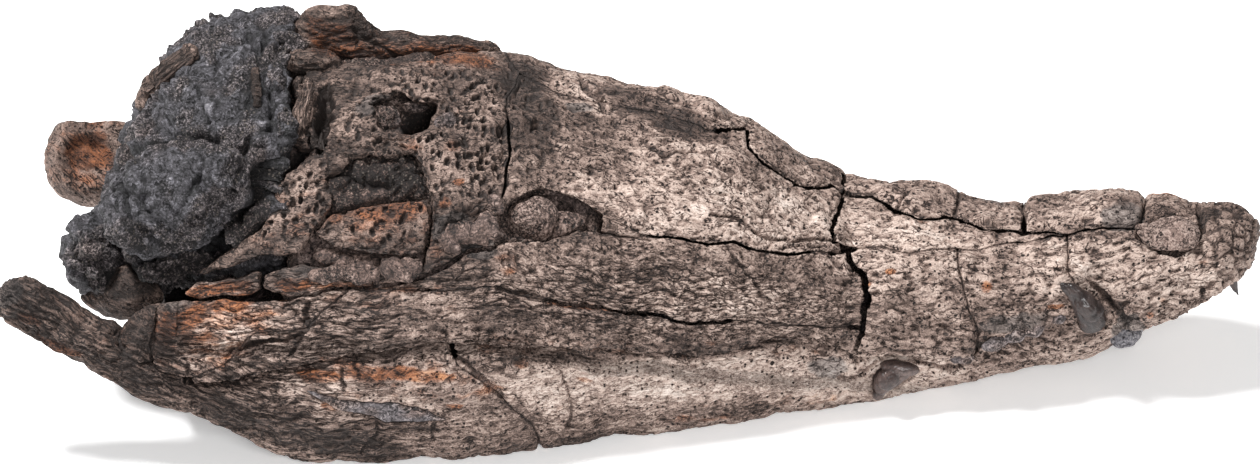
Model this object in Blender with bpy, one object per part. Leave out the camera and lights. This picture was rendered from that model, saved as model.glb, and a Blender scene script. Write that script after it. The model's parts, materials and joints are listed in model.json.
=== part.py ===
"""A fossil crocodile skull with its lower jaw, life size, lying on the lower borders of the jaw.

Sizes are in millimetres until an object is made, and metres after that. +X runs to the snout, +Y to
the animal's left and +Z up, with the floor at z = 0. The skull is crushed a little towards its left.

The cracks between the bones are drawn the way a person sees them from the skull's right side and a
little above. In that slanted view x runs along the skull and h is the height across the line of
sight: h = z cos(VIEW_TILT) + y sin(VIEW_TILT). A crack runs through the skull along the line of sight.
"""

import math

import bmesh
import bpy
import numpy as np
from mathutils import Matrix, Vector, noise
from mathutils.bvhtree import BVHTree

MM = 0.001
GAP = 0.35  # room between two pieces
VIEW_TILT = math.radians(35)
HIGH, LOW = 260, -120  # heights in the slanted view that are clear of the skull
REACH = 260  # half the length of a cutter along the line of sight
NOISE_SEED = 5

# Upper skull, along x: half width, tooth row, crown, lean of the crown to the left.
SKULL_BACK, SNOUT_TIP = -268, 348.6
HALF_WIDTH = ((-268, 104), (-184, 110), (-128, 110), (-72, 105), (-17, 94), (39, 82), (94, 67),
              (121, 62), (150, 57), (205, 49), (239, 42), (255, 37.5), (270, 41.5), (283, 43),
              (294, 42), (311, 37), (325, 31), (336, 23), (344, 14), (348.6, 6))
TOOTH_ROW = ((-268, 56), (-243, 53), (-184, 68), (-128, 81), (-100, 83), (-72, 77), (-17, 68), (18, 59),
             (60, 55), (94, 57), (121, 43), (143, 38), (183, 37), (222, 44), (255, 51), (275, 47),
             (294, 45), (305, 50), (316, 57), (327, 62), (338, 65), (344, 68), (348.6, 74))
CROWN = ((-268, 150), (-184, 176), (-128, 178), (-72, 169), (-39, 158), (-17, 152), (39, 141.5),
         (66, 129.5), (94, 110), (127, 96), (150, 95.5), (183, 91), (205, 86), (239, 93.5), (272, 98),
         (294, 92), (325, 93), (339, 93), (344, 90), (348.6, 83))
LEAN = ((-268, 25), (-72, 22), (39, 18), (94, 15), (150, 10), (240, 4), (348.6, 2))
ROOF_POWER = ((-268, 1.9), (-72, 2.0), (60, 2.2), (348.6, 2.3))
SHELL = 10  # thickness of the bone over the rock that fills the back of the skull
REAR_PLANE = -188  # where the rock in the skull meets the block behind it

# Lower jaw, along x: outer face, lower border, upper border, thickness, lean outward at the top.
JAW_BACK = -349.5
JAW_OUTER = ((-349.5, 88), (-344, 93), (-317, 98), (-281, 103), (-239, 108), (-206, 111), (-161, 113),
             (-128, 111), (-72, 104.5), (-17, 89), (39, 78), (94, 64), (121, 56), (150, 47.5),
             (205, 38.5), (239, 36), (261, 32), (280, 25), (289, 17))
JAW_LOW = ((-349.5, 88), (-344, 81), (-317, 67), (-295, 53), (-281, 44), (-261, 35), (-239, 29.5),
           (-222, 22), (-206, 12), (-184, 2), (-161, 0), (-128, 0), (150, 0), (178, 3), (205, 8),
           (239, 13), (261, 19), (289, 30))
JAW_HIGH = ((-349.5, 100), (-344, 106), (-335, 106), (-317, 97), (-295, 82), (-281, 74), (-261, 62),
            (-243, 51), (-184, 66), (-128, 78.5), (-100, 80.5), (-72, 75), (-17, 67), (18, 58), (60, 54),
            (94, 56), (121, 42), (143, 37), (183, 36), (222, 43), (255, 50), (275, 47), (289, 42))
JAW_THICK = ((-349.5, 9), (-344, 18), (-335, 24), (-281, 28), (-161, 30), (94, 28), (150, 30),
             (205, 37), (239, 35), (289, 16))
JAW_SPREAD = ((-349.5, 0), (-206, 0), (-128, 2), (-17, 5), (94, 3), (121, 4), (239, 4), (289, 2))

# Cracks and edges on the right side, as (x, h) in the slanted view.
CRACK_A_TOP = ((118, 94), (119, 88))
CRACK_A_UPPER = ((119, 88), (116, 79), (111, 68), (113, 61), (121, 59))
CRACK_A_LOWER = ((121, 59), (122, 53), (130, 44), (132, 31), (130, 26), (129, 14))
CRACK_A_FOOT = ((129, 14), (126, 5), (121, -8))
CRACK_B = ((182, 58), (182, 52), (184, 36), (188, 25), (193, 13), (192, 5))
CRACK_C = ((242, 67), (242, 62), (243, 43), (250, 30))
NASAL_REAR = ((-61, 155), (-39, 145), (-16, 139), (16, 134), (45, 124), (64, 124), (66, 114), (73, 106),
              (91, 94), (104, 91), (112, 93), (119, 88))
NASAL_MID = ((119, 88), (134, 87), (146, 80), (160, 75), (179, 75), (197, 68), (218, 68))
NASAL_FRONT = ((218, 68), (242, 67), (265, 69), (281, 71))
NASAL_CROSS = ((218, 68), (218, 80), (219, 91))
PREMAXILLA_EDGE = ((281, 71), (286, 85), (288, 100))
LACRIMAL_SUTURE = ((-15, 66), (9, 65), (28, 64), (42, 60), (57, 61), (65, 59), (89, 55), (111, 55),
                   (121, 59))
MAXILLA_SUTURE = ((121, 59), (134, 59), (155, 55), (168, 58), (182, 58), (187, 57), (211, 61), (242, 67))
JUGAL_SUTURE = ((-71, 37), (-63, 33), (-45, 29), (-17, 26), (15, 21), (34, 17), (60, 18), (105, 15),
                (129, 14))
JUGAL_TOP = ((-155, 35), (-131, 38), (-119, 41), (-99, 50), (-88, 57), (-75, 59))
ORBIT_LOWER = ((-75, 59), (-57, 61), (-28, 68), (-15, 66))
ORBIT_UPPER = ((-15, 66), (-15, 76), (-31, 86), (-49, 93), (-64, 87), (-74, 79))
TABLE_FRONT = ((-74, 79), (-69, 94), (-66, 108), (-68, 120), (-68, 141), (-61, 155))
TABLE_LEFT = ((-71, 169), (-84, 165), (-101, 165), (-127, 161), (-147, 158), (-177, 169))
TABLE_SIDE = ((-182, 150), (-178, 128), (-174, 113), (-154, 111), (-142, 110), (-121, 109), (-113, 97),
              (-110, 82), (-110, 61), (-113, 49), (-118, 42))
QUADRATOJUGAL_EDGE = ((-243, -13), (-262, -9), (-266, 5), (-261, 28), (-246, 30))
QUADRATOJUGAL_CRACK = ((-155, 35), (-179, 15), (-208, 11), (-223, -4), (-243, -13))
MANDIBLE_CRACK = ((-100, 30), (-98, 5), (-95, -6), (-79, -17), (-70, -24), (-56, -40), (-48, -60))

SQUAMOSAL = ((-239, 45), (-205, 68), (-186, 96), (-170, 106), (-164, 85), (-174, 69), (-184, 56), (-209, 52))
POSTORBITAL = ((-174, 67), (-164, 76), (-139, 83), (-112, 84), (-111, 61), (-114, 56), (-139, 55),
               (-164, 59))
QUADRATE = ((-139, 53), (-115, 54), (-115.5, 48), (-121, 42), (-131, 39), (-140, 38))
FENESTRA = ((-184, -18), (-160, -24), (-129, -27), (-118, -29), (-99, -36), (-135, -38), (-161, -30))
SPLINTER_REAR = ((-246, 35), (-239, 40), (-206, 43), (-205, 36), (-214, 32), (-239, 32))
SPLINTER_FRONT = ((-203, 37), (-201, 43), (-184, 50), (-156, 45), (-142, 42), (-142, 37), (-156, 37),
                  (-184, 32))
TEMPORAL_OPENING = ((-143, 137), (-127, 145), (-118, 141), (-106, 137), (-113, 123), (-135, 121))

ORBIT_CENTRE = (-44, 76)
NARIS_CENTRE = (299, 66)
# Each small bone: its line as (x, h, height above the rock), its radii and how flat it is.
SMALL_BONES = (
    ("rib", ((-271, 136, 0), (-266, 146, 3), (-256, 155, 3), (-242, 163, 0)), (4, 6, 6, 3), 0.8),
    ("hyoid_rod", ((-208, 159, 0), (-207, 150, 1.5), (-205, 136, 0)), (2, 3.2, 2.2), 1.0),
    ("cervical_rib", ((-177, 149, 0), (-178, 138, 4), (-180, 124, 4), (-179, 112, 1)), (4, 7, 7, 3.5), 0.8))
ARTICULAR = ((-274, -90, 66), (-270, -90, 78), (-265, -88, 88), (-262, -86, 94))
QUADRATE_CONDYLE = ((-305, -42, 66), (-297, -42, 68), (-286, -43, 71), (-275, -44, 74), (-265, -44, 80))

BONE = (0.47, 0.41, 0.35)
DARK_BONE = (0.30, 0.26, 0.24)
RUSTY_BONE = (0.38, 0.24, 0.15)
ROCK = (0.11, 0.115, 0.12)
TOOTH = (0.10, 0.075, 0.06)
FINISHES = {"bone": (BONE, 0.75), "dark_bone": (DARK_BONE, 0.8), "rusty_bone": (RUSTY_BONE, 0.8),
            "rock": (ROCK, 0.9), "tooth": (TOOTH, 0.3)}


# --- curves and points ---------------------------------------------------------------------------

def along(knots):
    """The smooth curve through (x, value) knots, as a function of x."""
    xs = np.array([x for x, _ in knots], float)
    values = np.array([value for _, value in knots], float)
    slopes = np.diff(values) / np.diff(xs)
    before = np.concatenate([slopes[:1], slopes])
    after = np.concatenate([slopes, slopes[-1:]])
    tangents = np.where(before * after > 0, 2 * before * after / (before + after + 1e-12), 0)

    def value_at(x):
        i = int(np.clip(np.searchsorted(xs, x) - 1, 0, len(xs) - 2))
        width = xs[i + 1] - xs[i]
        t = min(max((x - xs[i]) / width, 0), 1)
        rise = values[i + 1] - values[i]
        bend = t * (1 - t) * ((1 - t) * (tangents[i] * width - rise) + t * (rise - tangents[i + 1] * width))
        return float(values[i] + t * rise + bend)

    return value_at


def seen(x, h, depth=0.0, side=-1):
    """The point at (x, h) of the slanted view, `depth` further from the person looking.

    side -1 looks from the skull's right, +1 from its left.
    """
    y = h * math.sin(VIEW_TILT) + depth * math.cos(VIEW_TILT)
    z = h * math.cos(VIEW_TILT) - depth * math.sin(VIEW_TILT)
    return Vector((x, y * -side, z))


def superellipse(count, power, start=0.5):
    """Unit (across, up) points round a superellipse. With start 0.5 its top and bottom are short flats."""
    angles = (np.arange(count) + start) * 2 * math.pi / count
    across = np.sign(np.cos(angles)) * np.abs(np.cos(angles)) ** (2 / power)
    up = np.sign(np.sin(angles)) * np.abs(np.sin(angles)) ** (2 / power)
    return across / np.abs(across).max(), up / np.abs(up).max()


def inset(outline, distance):
    """The closed outline moved inwards by a distance."""
    points = np.array(outline, float)
    before = points - np.roll(points, 1, axis=0)
    after = np.roll(points, -1, axis=0) - points
    before /= np.linalg.norm(before, axis=1)[:, None]
    after /= np.linalg.norm(after, axis=1)[:, None]
    turn = np.cross(points, np.roll(points, -1, axis=0)).sum()
    left = np.stack([-(before + after)[:, 1], (before + after)[:, 0]], axis=1)
    length = np.linalg.norm(left, axis=1)[:, None]
    stretch = np.clip(length / 2, 0.5, 1)
    return points + np.sign(turn) * left / length * distance / stretch


def join(*lines):
    """One outline from lines laid end to end, without the points that repeat."""
    outline = []
    for line in lines:
        outline += [point for point in line if point not in outline]
    return outline


def back(line):
    return tuple(reversed(line))


# --- solids --------------------------------------------------------------------------------------

def clear_scene():
    for item in list(bpy.data.objects):
        bpy.data.objects.remove(item, do_unlink=True)
    for mesh in list(bpy.data.meshes):
        bpy.data.meshes.remove(mesh)


def finish_named(name):
    material = bpy.data.materials.get(name)
    if material is None:
        colour, roughness = FINISHES[name]
        material = bpy.data.materials.new(name)
        material.use_nodes = True
        shader = material.node_tree.nodes["Principled BSDF"]
        shader.inputs["Base Color"].default_value = (*colour, 1)
        shader.inputs["Roughness"].default_value = roughness
        material.diffuse_color = (*colour, 1)
    return material


def solid(mesh_data, name="solid"):
    """An object from a bmesh in millimetres, with its faces pointing out."""
    bmesh.ops.recalc_face_normals(mesh_data, faces=mesh_data.faces)
    mesh = bpy.data.meshes.new(name)
    mesh_data.to_mesh(mesh)
    mesh_data.free()
    item = bpy.data.objects.new(name, mesh)
    bpy.context.scene.collection.objects.link(item)
    return item


def loft(rings):
    """A closed solid through rings of as many points each."""
    shape = bmesh.new()
    rows = [[shape.verts.new(point) for point in ring] for ring in rings]
    count = len(rows[0])
    for row, following in zip(rows, rows[1:]):
        for i in range(count):
            j = (i + 1) % count
            shape.faces.new((row[i], row[j], following[j], following[i]))
    shape.faces.new(rows[0])
    shape.faces.new(rows[-1])
    return solid(shape)


def prism(outline, side=-1, gap=GAP):
    """The outline of the slanted view, cut through along the line of sight."""
    edge = inset(outline, gap / 2)
    near = [seen(x, h, -REACH, side) for x, h in edge]
    far = [seen(x, h, REACH, side) for x, h in edge]
    return loft([near, far])


def plan_prism(outline):
    """The outline of the view from above, as (x, y), cut straight down."""
    return loft([[(x, y, z) for x, y in outline] for z in (LOW, HIGH)])


def ball(centre, radii, tilt=0.0, detail=2, rough=0.0):
    """An ellipsoid, tilted about its y axis, with a rough surface."""
    shape = bmesh.new()
    bmesh.ops.create_icosphere(shape, subdivisions=detail, radius=1)
    turn = Matrix.Rotation(math.radians(tilt), 3, "Y")
    for vert in shape.verts:
        bump = 1 + rough * noise.noise(vert.co * 1.9 + Vector(centre) * 0.1)
        vert.co = turn @ Vector([c * r for c, r in zip(vert.co * bump, radii)]) + Vector(centre)
    return solid(shape)


def rod(path, radii, flatten=1.0, sides=8):
    """A tapering round bone along a path; flatten below 1 makes it thinner along the line of sight."""
    across, up = superellipse(sides, 2)
    sight = seen(0, 0, 1)
    rings = []
    for i, (point, radius) in enumerate(zip(path, radii)):
        point = Vector(point)
        ahead = (Vector(path[min(i + 1, len(path) - 1)]) - Vector(path[max(i - 1, 0)])).normalized()
        out = ahead.cross(sight).normalized()
        sideways = ahead.cross(out)
        rings.append([point + (out * a + sideways * b * flatten) * radius for a, b in zip(across, up)])
    return loft(rings)


def combine(item, operation, other):
    """item becomes its Boolean with the other solid, which is used up.

    EXACT leaves nothing of one thin piece along the ridge, and only there MANIFOLD takes over.
    """
    modifier = item.modifiers.new("cut", "BOOLEAN")
    modifier.operation = operation
    modifier.object = other
    for solver in ("EXACT", "MANIFOLD"):
        modifier.solver = solver
        bpy.context.view_layer.update()
        graph = bpy.context.evaluated_depsgraph_get()
        mesh = bpy.data.meshes.new_from_object(item.evaluated_get(graph))
        if mesh.polygons:
            break
    item.modifiers.clear()
    item.data = mesh
    bpy.data.objects.remove(other)
    return item


def copy_of(item):
    twin = bpy.data.objects.new(item.name, item.data.copy())
    bpy.context.scene.collection.objects.link(twin)
    return twin


def swollen(item, distance=GAP):
    """A copy that is larger by the room a neighbour keeps."""
    twin = copy_of(item)
    shape = bmesh.new()
    shape.from_mesh(twin.data)
    shape.normal_update()
    for vert, normal in [(vert, vert.normal.copy()) for vert in shape.verts]:
        vert.co += normal * distance * 1.15
    shape.to_mesh(twin.data)
    shape.free()
    return twin


def boxes_meet(one, other):
    corners = [np.array([vert.co for vert in item.data.vertices]) for item in (one, other)]
    lows = [points.min(0) - GAP for points in corners]
    highs = [points.max(0) + GAP for points in corners]
    return bool(np.all(lows[0] < highs[1]) and np.all(lows[1] < highs[0]))


def make_room(item, *neighbours):
    """Cuts each neighbour's own shape, and the gap round it, out of the item."""
    for neighbour in neighbours:
        if boxes_meet(item, neighbour):
            combine(item, "DIFFERENCE", swollen(neighbour))
    return item


def keep_largest(shape):
    """Drops every loose scrap of a bmesh but the body with most points."""
    shape.verts.ensure_lookup_table()
    unseen = set(shape.verts)
    bodies = []
    while unseen:
        body = set()
        edge_of_body = [unseen.pop()]
        while edge_of_body:
            vert = edge_of_body.pop()
            body.add(vert)
            for link in vert.link_edges:
                other = link.other_vert(vert)
                if other in unseen:
                    unseen.remove(other)
                    edge_of_body.append(other)
        bodies.append(body)
    largest = max(bodies, key=len)
    bmesh.ops.delete(shape, geom=[vert for vert in shape.verts if vert not in largest], context="VERTS")


def place(item, name, finish, collection):
    """Names a finished solid, scales it to metres and gives it its material."""
    if not item.data.polygons:
        raise ValueError(f"{name} came out empty")
    shape = bmesh.new()
    shape.from_mesh(item.data)
    bmesh.ops.remove_doubles(shape, verts=shape.verts, dist=0.02)
    bmesh.ops.dissolve_degenerate(shape, dist=0.02, edges=shape.edges)
    keep_largest(shape)
    bmesh.ops.triangulate(shape, faces=shape.faces)
    bmesh.ops.scale(shape, vec=(MM, MM, MM), verts=shape.verts)
    mesh = bpy.data.meshes.new(name)
    shape.to_mesh(mesh)
    shape.free()
    mesh.materials.append(finish_named(finish))
    part = bpy.data.objects.new(name, mesh)
    collection.objects.link(part)
    bpy.data.objects.remove(item)
    return part


# --- the blanks that the bones are cut from --------------------------------------------------------

half_width, tooth_row, crown = along(HALF_WIDTH), along(TOOTH_ROW), along(CROWN)
lean, roof_power = along(LEAN), along(ROOF_POWER)
jaw_outer, jaw_low, jaw_high = along(JAW_OUTER), along(JAW_LOW), along(JAW_HIGH)
jaw_thick, jaw_spread = along(JAW_THICK), along(JAW_SPREAD)


def skull_ring(x, thinner=0.0, drop=0.0, roof_points=15):
    """A cross-section of the upper skull: an arched roof over a flat palate."""
    width, base = half_width(x) - thinner, tooth_row(x) - drop
    height = crown(x) - thinner - base
    power = roof_power(x)
    ring = []
    for angle in np.linspace(0, math.pi, roof_points):
        y = width * math.copysign(abs(math.cos(angle)) ** (2 / power), math.cos(angle))
        rise = abs(math.sin(angle)) ** (2 / power)
        ring.append((x, y + lean(x) * rise, base + height * rise))
    palate = [(x, y, base + 1.5) for y in (-width * 0.55, 0, width * 0.55)]
    return ring + palate


def skull_blank():
    body = list(np.arange(SKULL_BACK, 300, 23))
    return loft([skull_ring(x) for x in body + [312, 325, 335, 342, 346, SNOUT_TIP]])


def skull_filling():
    """The rock inside the back of the skull, from the occiput to the front of the orbits."""
    front = 6
    rings = [skull_ring(x, SHELL, 0.15) for x in (REAR_PLANE, -162, -139, -116, -93, -70, -47, -24)]
    rings.append(skull_ring(front, 3 * SHELL, 0.15))
    return loft(rings)


def skull_hollow():
    """The space inside the broken bones behind the skull table, which the rear block fills."""
    return loft([skull_ring(x, SHELL, 0.15) for x in (-276, -262, -239, -216, -200, REAR_PLANE + 1)])


def jaw_half(side, back_end=JAW_BACK):
    """One half of the lower jaw. Its lower border has a flat where it rests on the floor."""
    across, up = superellipse(12, 3.2)
    stations = [-349.5, -347, -342, -333, -317, -295, -278, -261, -240, -218, -200, -184, -161, -128, -95,
                -60, -17, 20, 60, 94, 108, 121, 150, 178, 205, 232, 261, 278, 289]
    rings = []
    for x in [station for station in stations if station >= back_end]:
        low, high, outer = jaw_low(x), jaw_high(x), jaw_outer(x)
        thick = min(jaw_thick(x), outer - GAP / 2)
        middle = outer - thick / 2
        rings.append([(x, side * (middle + thick / 2 * a + jaw_spread(x) * (b + 1) / 2),
                       (low + high) / 2 + (high - low) / 2 * b) for a, b in zip(across, up)])
    return loft(rings)


def jaw_filling():
    """The rock between the two halves of the lower jaw, under the palate."""
    rings = []
    for x in (-262, -240, -215, -184, -150, -110, -60, -17, 4, 18, 39, 94, 121, 150, 172, 190):
        inner = jaw_outer(x) - jaw_thick(x) - 2 * GAP
        low = 16 + 0.6 * jaw_low(x)
        high = tooth_row(x) - 3 * GAP
        corner = min(8, inner * 0.3)
        rings.append([(x, y, z) for y, z in ((-inner, low + corner), (-inner, high - 2), (-inner + 2, high),
                                            (inner - 2, high), (inner, high - 2), (inner, low + corner),
                                            (inner - corner, low), (-inner + corner, low))])
    return loft(rings)


def rear_block():
    """The block of rock behind the skull, with its lumps."""
    # x, centre across, centre up, half width, half height
    sections = ((-299, 0, 72, 22, 20), (-287, 4, 81, 36, 31), (-272, 12, 100, 60, 44),
                (-252, 18, 116, 74, 53), (-228, 20, 123, 82, 60), (-207, 22, 125, 84, 60),
                (REAR_PLANE - GAP, 22, 125, 84, 57.5))
    across, up = superellipse(16, 2.7)
    rings = []
    for x, centre, middle, wide, tall in sections:
        rings.append([(x, centre + wide * a, middle + tall * b) for a, b in zip(across, up)])
    block = loft(rings)
    shape = bmesh.new()
    shape.from_mesh(block.data)
    for vert in shape.verts:
        if vert.co.x < -190:
            vert.co += noise.noise_vector(vert.co * 0.03) * 5
    shape.to_mesh(block.data)
    shape.free()
    knob = ball((-298, -30, 88), (15, 24, 24), tilt=-15, rough=0.25)
    return combine(block, "UNION", knob)


def squamosal_slab():
    """The rusty bone pushed up along the left edge of the skull table, with a knob at its rear end."""
    # x, h of the middle, half height, half thickness, how deep it lies along the line of sight
    sections = ((-186, 176, 8, 7, -42), (-177, 180, 12, 9, -42), (-163, 180, 15, 11, -40),
                (-154, 178, 16, 11, -40), (-140, 171, 10, 10, -36), (-110, 171, 8, 10, -32),
                (-84, 169, 7, 9, -28), (-73, 168, 4, 5, -26))
    across, up = superellipse(10, 2.2)
    rings = []
    for x, middle, tall, thick, depth in sections:
        rings.append([seen(x, middle + tall * b, depth + thick * a) for a, b in zip(across, up)])
    return loft(rings)


def left_process():
    """The broad rusty end of the jaw's left half, hollow side up."""
    # x, h of the middle, half height, half thickness, how deep it lies along the line of sight
    sections = ((-326, 108, 8, 5, 18), (-321, 108, 17, 9, 18), (-308, 107, 23, 11, 18),
                (-290, 106, 23, 12, 17), (-272, 102, 20, 12, 16), (-263.5, 98, 16, 12, 14))
    across, up = superellipse(12, 2.4)
    rings = []
    for x, middle, tall, thick, depth in sections:
        rings.append([seen(x, middle + tall * b, depth + thick * a) for a, b in zip(across, up)])
    return loft(rings)


class Surface:
    """Finds where the line of sight through (x, h) first meets some solids."""

    def __init__(self, *items):
        self.trees = [BVHTree.FromObject(item, bpy.context.evaluated_depsgraph_get()) for item in items]

    def at(self, x, h, lift=0.0):
        start = seen(x, h, -REACH)
        sight = (seen(x, h, REACH) - start).normalized()
        hits = [tree.ray_cast(start, sight) for tree in self.trees]
        nearest = min(hit[3] for hit in hits if hit[0] is not None)
        return start + sight * (nearest - lift)


def tooth(base, tip, radius, bend):
    """A curved conical tooth from base to tip; bend moves its middle."""
    base, tip, bend = Vector(base), Vector(tip), Vector(bend)
    steps = (0, 0.2, 0.45, 0.7, 0.88, 1)
    path = [base.lerp(tip, t) + bend * (4 * t * (1 - t)) for t in steps]
    return rod(path, [radius * width for width in (0.95, 1, 0.88, 0.62, 0.36, 0.1)], sides=10)


def canine(side):
    """The large tooth of the lower jaw that stands in the notch behind the premaxilla."""
    return tooth((257, side * 38, 47), (238.6, side * 41, 76.5), 7.2, (3, side * 2, 1))


def front_tooth(side):
    return tooth((333.5, side * 14, 69), (338, side * 15, 50), 3.0, (-0.8, 0, 0))


def main():
    clear_scene()
    noise.seed_set(NOISE_SEED)
    skull = bpy.data.collections.new("fossil_crocodile_skull")
    bpy.context.scene.collection.children.link(skull)
    made = {}

    def add(item, name, finish="bone"):
        made[name] = (item, finish)
        return item

    # Behind NASAL_CROSS the far side parts from the near side along the ridge where the slanted view ends.
    cross = NASAL_CROSS[0][0]
    ridge = [(x, lean(x) + half_width(x) * 0.5) for x in np.arange(-300, cross - 10, 26)] + [(cross, 30)]
    far_side = plan_prism([(x, y + GAP / 2) for x, y in ridge] + [(cross, 200), (-300, 200)])
    near_side = plan_prism([(x, y - GAP / 2) for x, y in ridge]
                           + [(cross + GAP, 30), (cross + GAP, 200), (400, 200), (400, -200), (-300, -200)])
    blank = skull_blank()
    filling = skull_filling()
    block = rear_block()
    slab = squamosal_slab()
    far = combine(copy_of(blank), "INTERSECT", far_side)
    near = combine(copy_of(blank), "INTERSECT", near_side)
    hollow = skull_hollow()
    for half in (far, near):
        make_room(half, filling, hollow, slab)
    make_room(filling, slab)
    make_room(block, slab)

    def cut(blank_half, outline, name, finish="bone"):
        return add(combine(copy_of(blank_half), "INTERSECT", prism(outline)), name, finish)

    # Snout, front to back.
    cut(near, join(CRACK_C, ((251, -60), (400, -60), (400, HIGH), (288, HIGH)), back(PREMAXILLA_EDGE),
                   back(NASAL_FRONT[1:])), "premaxillae")
    cut(near, join(NASAL_FRONT, PREMAXILLA_EDGE, ((288, HIGH), (219, HIGH)), back(NASAL_CROSS)),
        "premaxilla_left")
    cut(near, join(NASAL_MID, NASAL_CROSS, ((219, HIGH), (118, HIGH)), CRACK_A_TOP), "nasal_front")
    cut(near, join(NASAL_REAR, back(CRACK_A_TOP), ((118, HIGH), (-70, HIGH), (-71, 169))), "nasal_rear")
    cut(near, join(MAXILLA_SUTURE, back(NASAL_MID), ((119, 88),), CRACK_A_UPPER), "maxilla_front_upper")
    cut(near, join(MAXILLA_SUTURE[:5], CRACK_B, ((191, LOW), (121, LOW)), back(CRACK_A_FOOT),
                   back(CRACK_A_LOWER)), "maxilla_front_lower")
    cut(near, join(MAXILLA_SUTURE[4:], CRACK_C, ((251, LOW), (191, LOW)), back(CRACK_B)), "maxilla_canine")
    cut(near, join(LACRIMAL_SUTURE, back(CRACK_A_UPPER), back(NASAL_REAR), back(TABLE_FRONT),
                   back(ORBIT_UPPER)), "lacrimal_right")
    cut(near, join(JUGAL_TOP, ORBIT_LOWER, LACRIMAL_SUTURE, CRACK_A_LOWER, back(JUGAL_SUTURE)),
        "maxilla_rear", "dark_bone")
    cut(near, join(JUGAL_SUTURE, CRACK_A_FOOT, ((121, LOW), (-243, LOW)), back(QUADRATOJUGAL_CRACK)),
        "jugal_right", "dark_bone")

    # The skull table and the broken bones of the temple.
    table = cut(near, join(TABLE_SIDE, JUGAL_TOP[3:], TABLE_FRONT, TABLE_LEFT), "skull_table", "dark_bone")
    combine(table, "DIFFERENCE", prism(TEMPORAL_OPENING, gap=0))
    quadratojugal = join(QUADRATOJUGAL_EDGE, ((-205, 29),), QUADRATOJUGAL_CRACK)
    cut(near, quadratojugal, "quadratojugal_right", "rusty_bone")
    cut(near, SQUAMOSAL, "squamosal_right", "dark_bone")
    cut(near, POSTORBITAL, "postorbital_right", "rusty_bone")
    cut(near, QUADRATE, "quadrate_right", "dark_bone")
    cut(near, SPLINTER_REAR, "splinter_rear", "rusty_bone")
    cut(near, SPLINTER_FRONT, "splinter_front", "rusty_bone")
    add(slab, "squamosal_left", "rusty_bone")

    # The far side: two lengths of snout, the bar under the temple and the post behind the orbit.
    for name, start, end in (("maxilla_left_front", 121, 240), ("maxilla_left_rear", -62, 120)):
        cut(far, ((start, LOW), (end, LOW), (end, HIGH), (start, HIGH)), name)
    far_bar = ((-242, LOW), (-62, LOW), (-62, 44), (-110, 30), (-180, 22), (-230, 26), (-242, 24))
    far_post = ((-128, 40), (-62, 52), (-62, 125), (-112, 118), (-104, 85))
    for name, outline in (("jugal_left", far_bar), ("postorbital_left", far_post)):
        add(combine(copy_of(far), "INTERSECT", prism(outline, side=1)), name, "dark_bone")

    # What fills the orbit and the naris.
    skin = Surface(blank)
    orbit = skin.at(*ORBIT_CENTRE, lift=-SHELL)
    combine(filling, "DIFFERENCE", ball(orbit, (27, 15, 14), tilt=-12))
    for name, centre, radii in (("orbit_fill", (-55, 75), (14, 8, 12)),
                                ("orbit_fill_front", (-38, 71), (13, 6, 6))):
        lump = ball(skin.at(*centre, lift=-SHELL - 2), radii, tilt=-8)
        make_room(filling, lump)
        for neighbour in ("lacrimal_right", "maxilla_rear", "skull_table"):
            make_room(made[neighbour][0], lump)
        add(lump, name, "rock")
    make_room(made["orbit_fill_front"][0], made["orbit_fill"][0])
    naris = ball(skin.at(*NARIS_CENTRE, lift=1), (20, 14, 7))
    for neighbour in ("premaxillae", "premaxilla_left"):
        combine(made[neighbour][0], "DIFFERENCE", copy_of(naris))
    bpy.data.objects.remove(naris)
    naris_fill = ball(skin.at(*NARIS_CENTRE, lift=-3), (17, 11.5, 5))
    for neighbour in ("premaxillae", "premaxilla_left"):
        make_room(made[neighbour][0], naris_fill)
    add(naris_fill, "naris_fill", "rock")

    # Small bones on the rock behind the skull, laid on it where the line of sight meets it.
    rock = Surface(block, filling)
    for name, line, radii, flatten in SMALL_BONES:
        bone = rod([rock.at(x, h, lift) for x, h, lift in line], radii, flatten)
        make_room(made["skull_table"][0], bone)
        make_room(filling, bone)
        add(bone, name, "dark_bone")
    add(rod(QUADRATE_CONDYLE, (1.5, 8, 13, 15, 11), 0.8, sides=10), "quadrate_condyle_right", "dark_bone")

    # Rock: inside the skull, behind it and under its palate.
    make_room(block, *(made[name][0] for name in (
        "squamosal_right", "quadratojugal_right", "splinter_rear", "splinter_front", "jugal_right",
        "jugal_left", "skull_table", "maxilla_rear", "rib", "hyoid_rod", "cervical_rib",
        "quadrate_condyle_right")))
    add(filling, "rock_in_skull", "rock")
    add(block, "rock_behind_skull", "rock")
    add(jaw_filling(), "rock_between_jaws", "rock")

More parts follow.
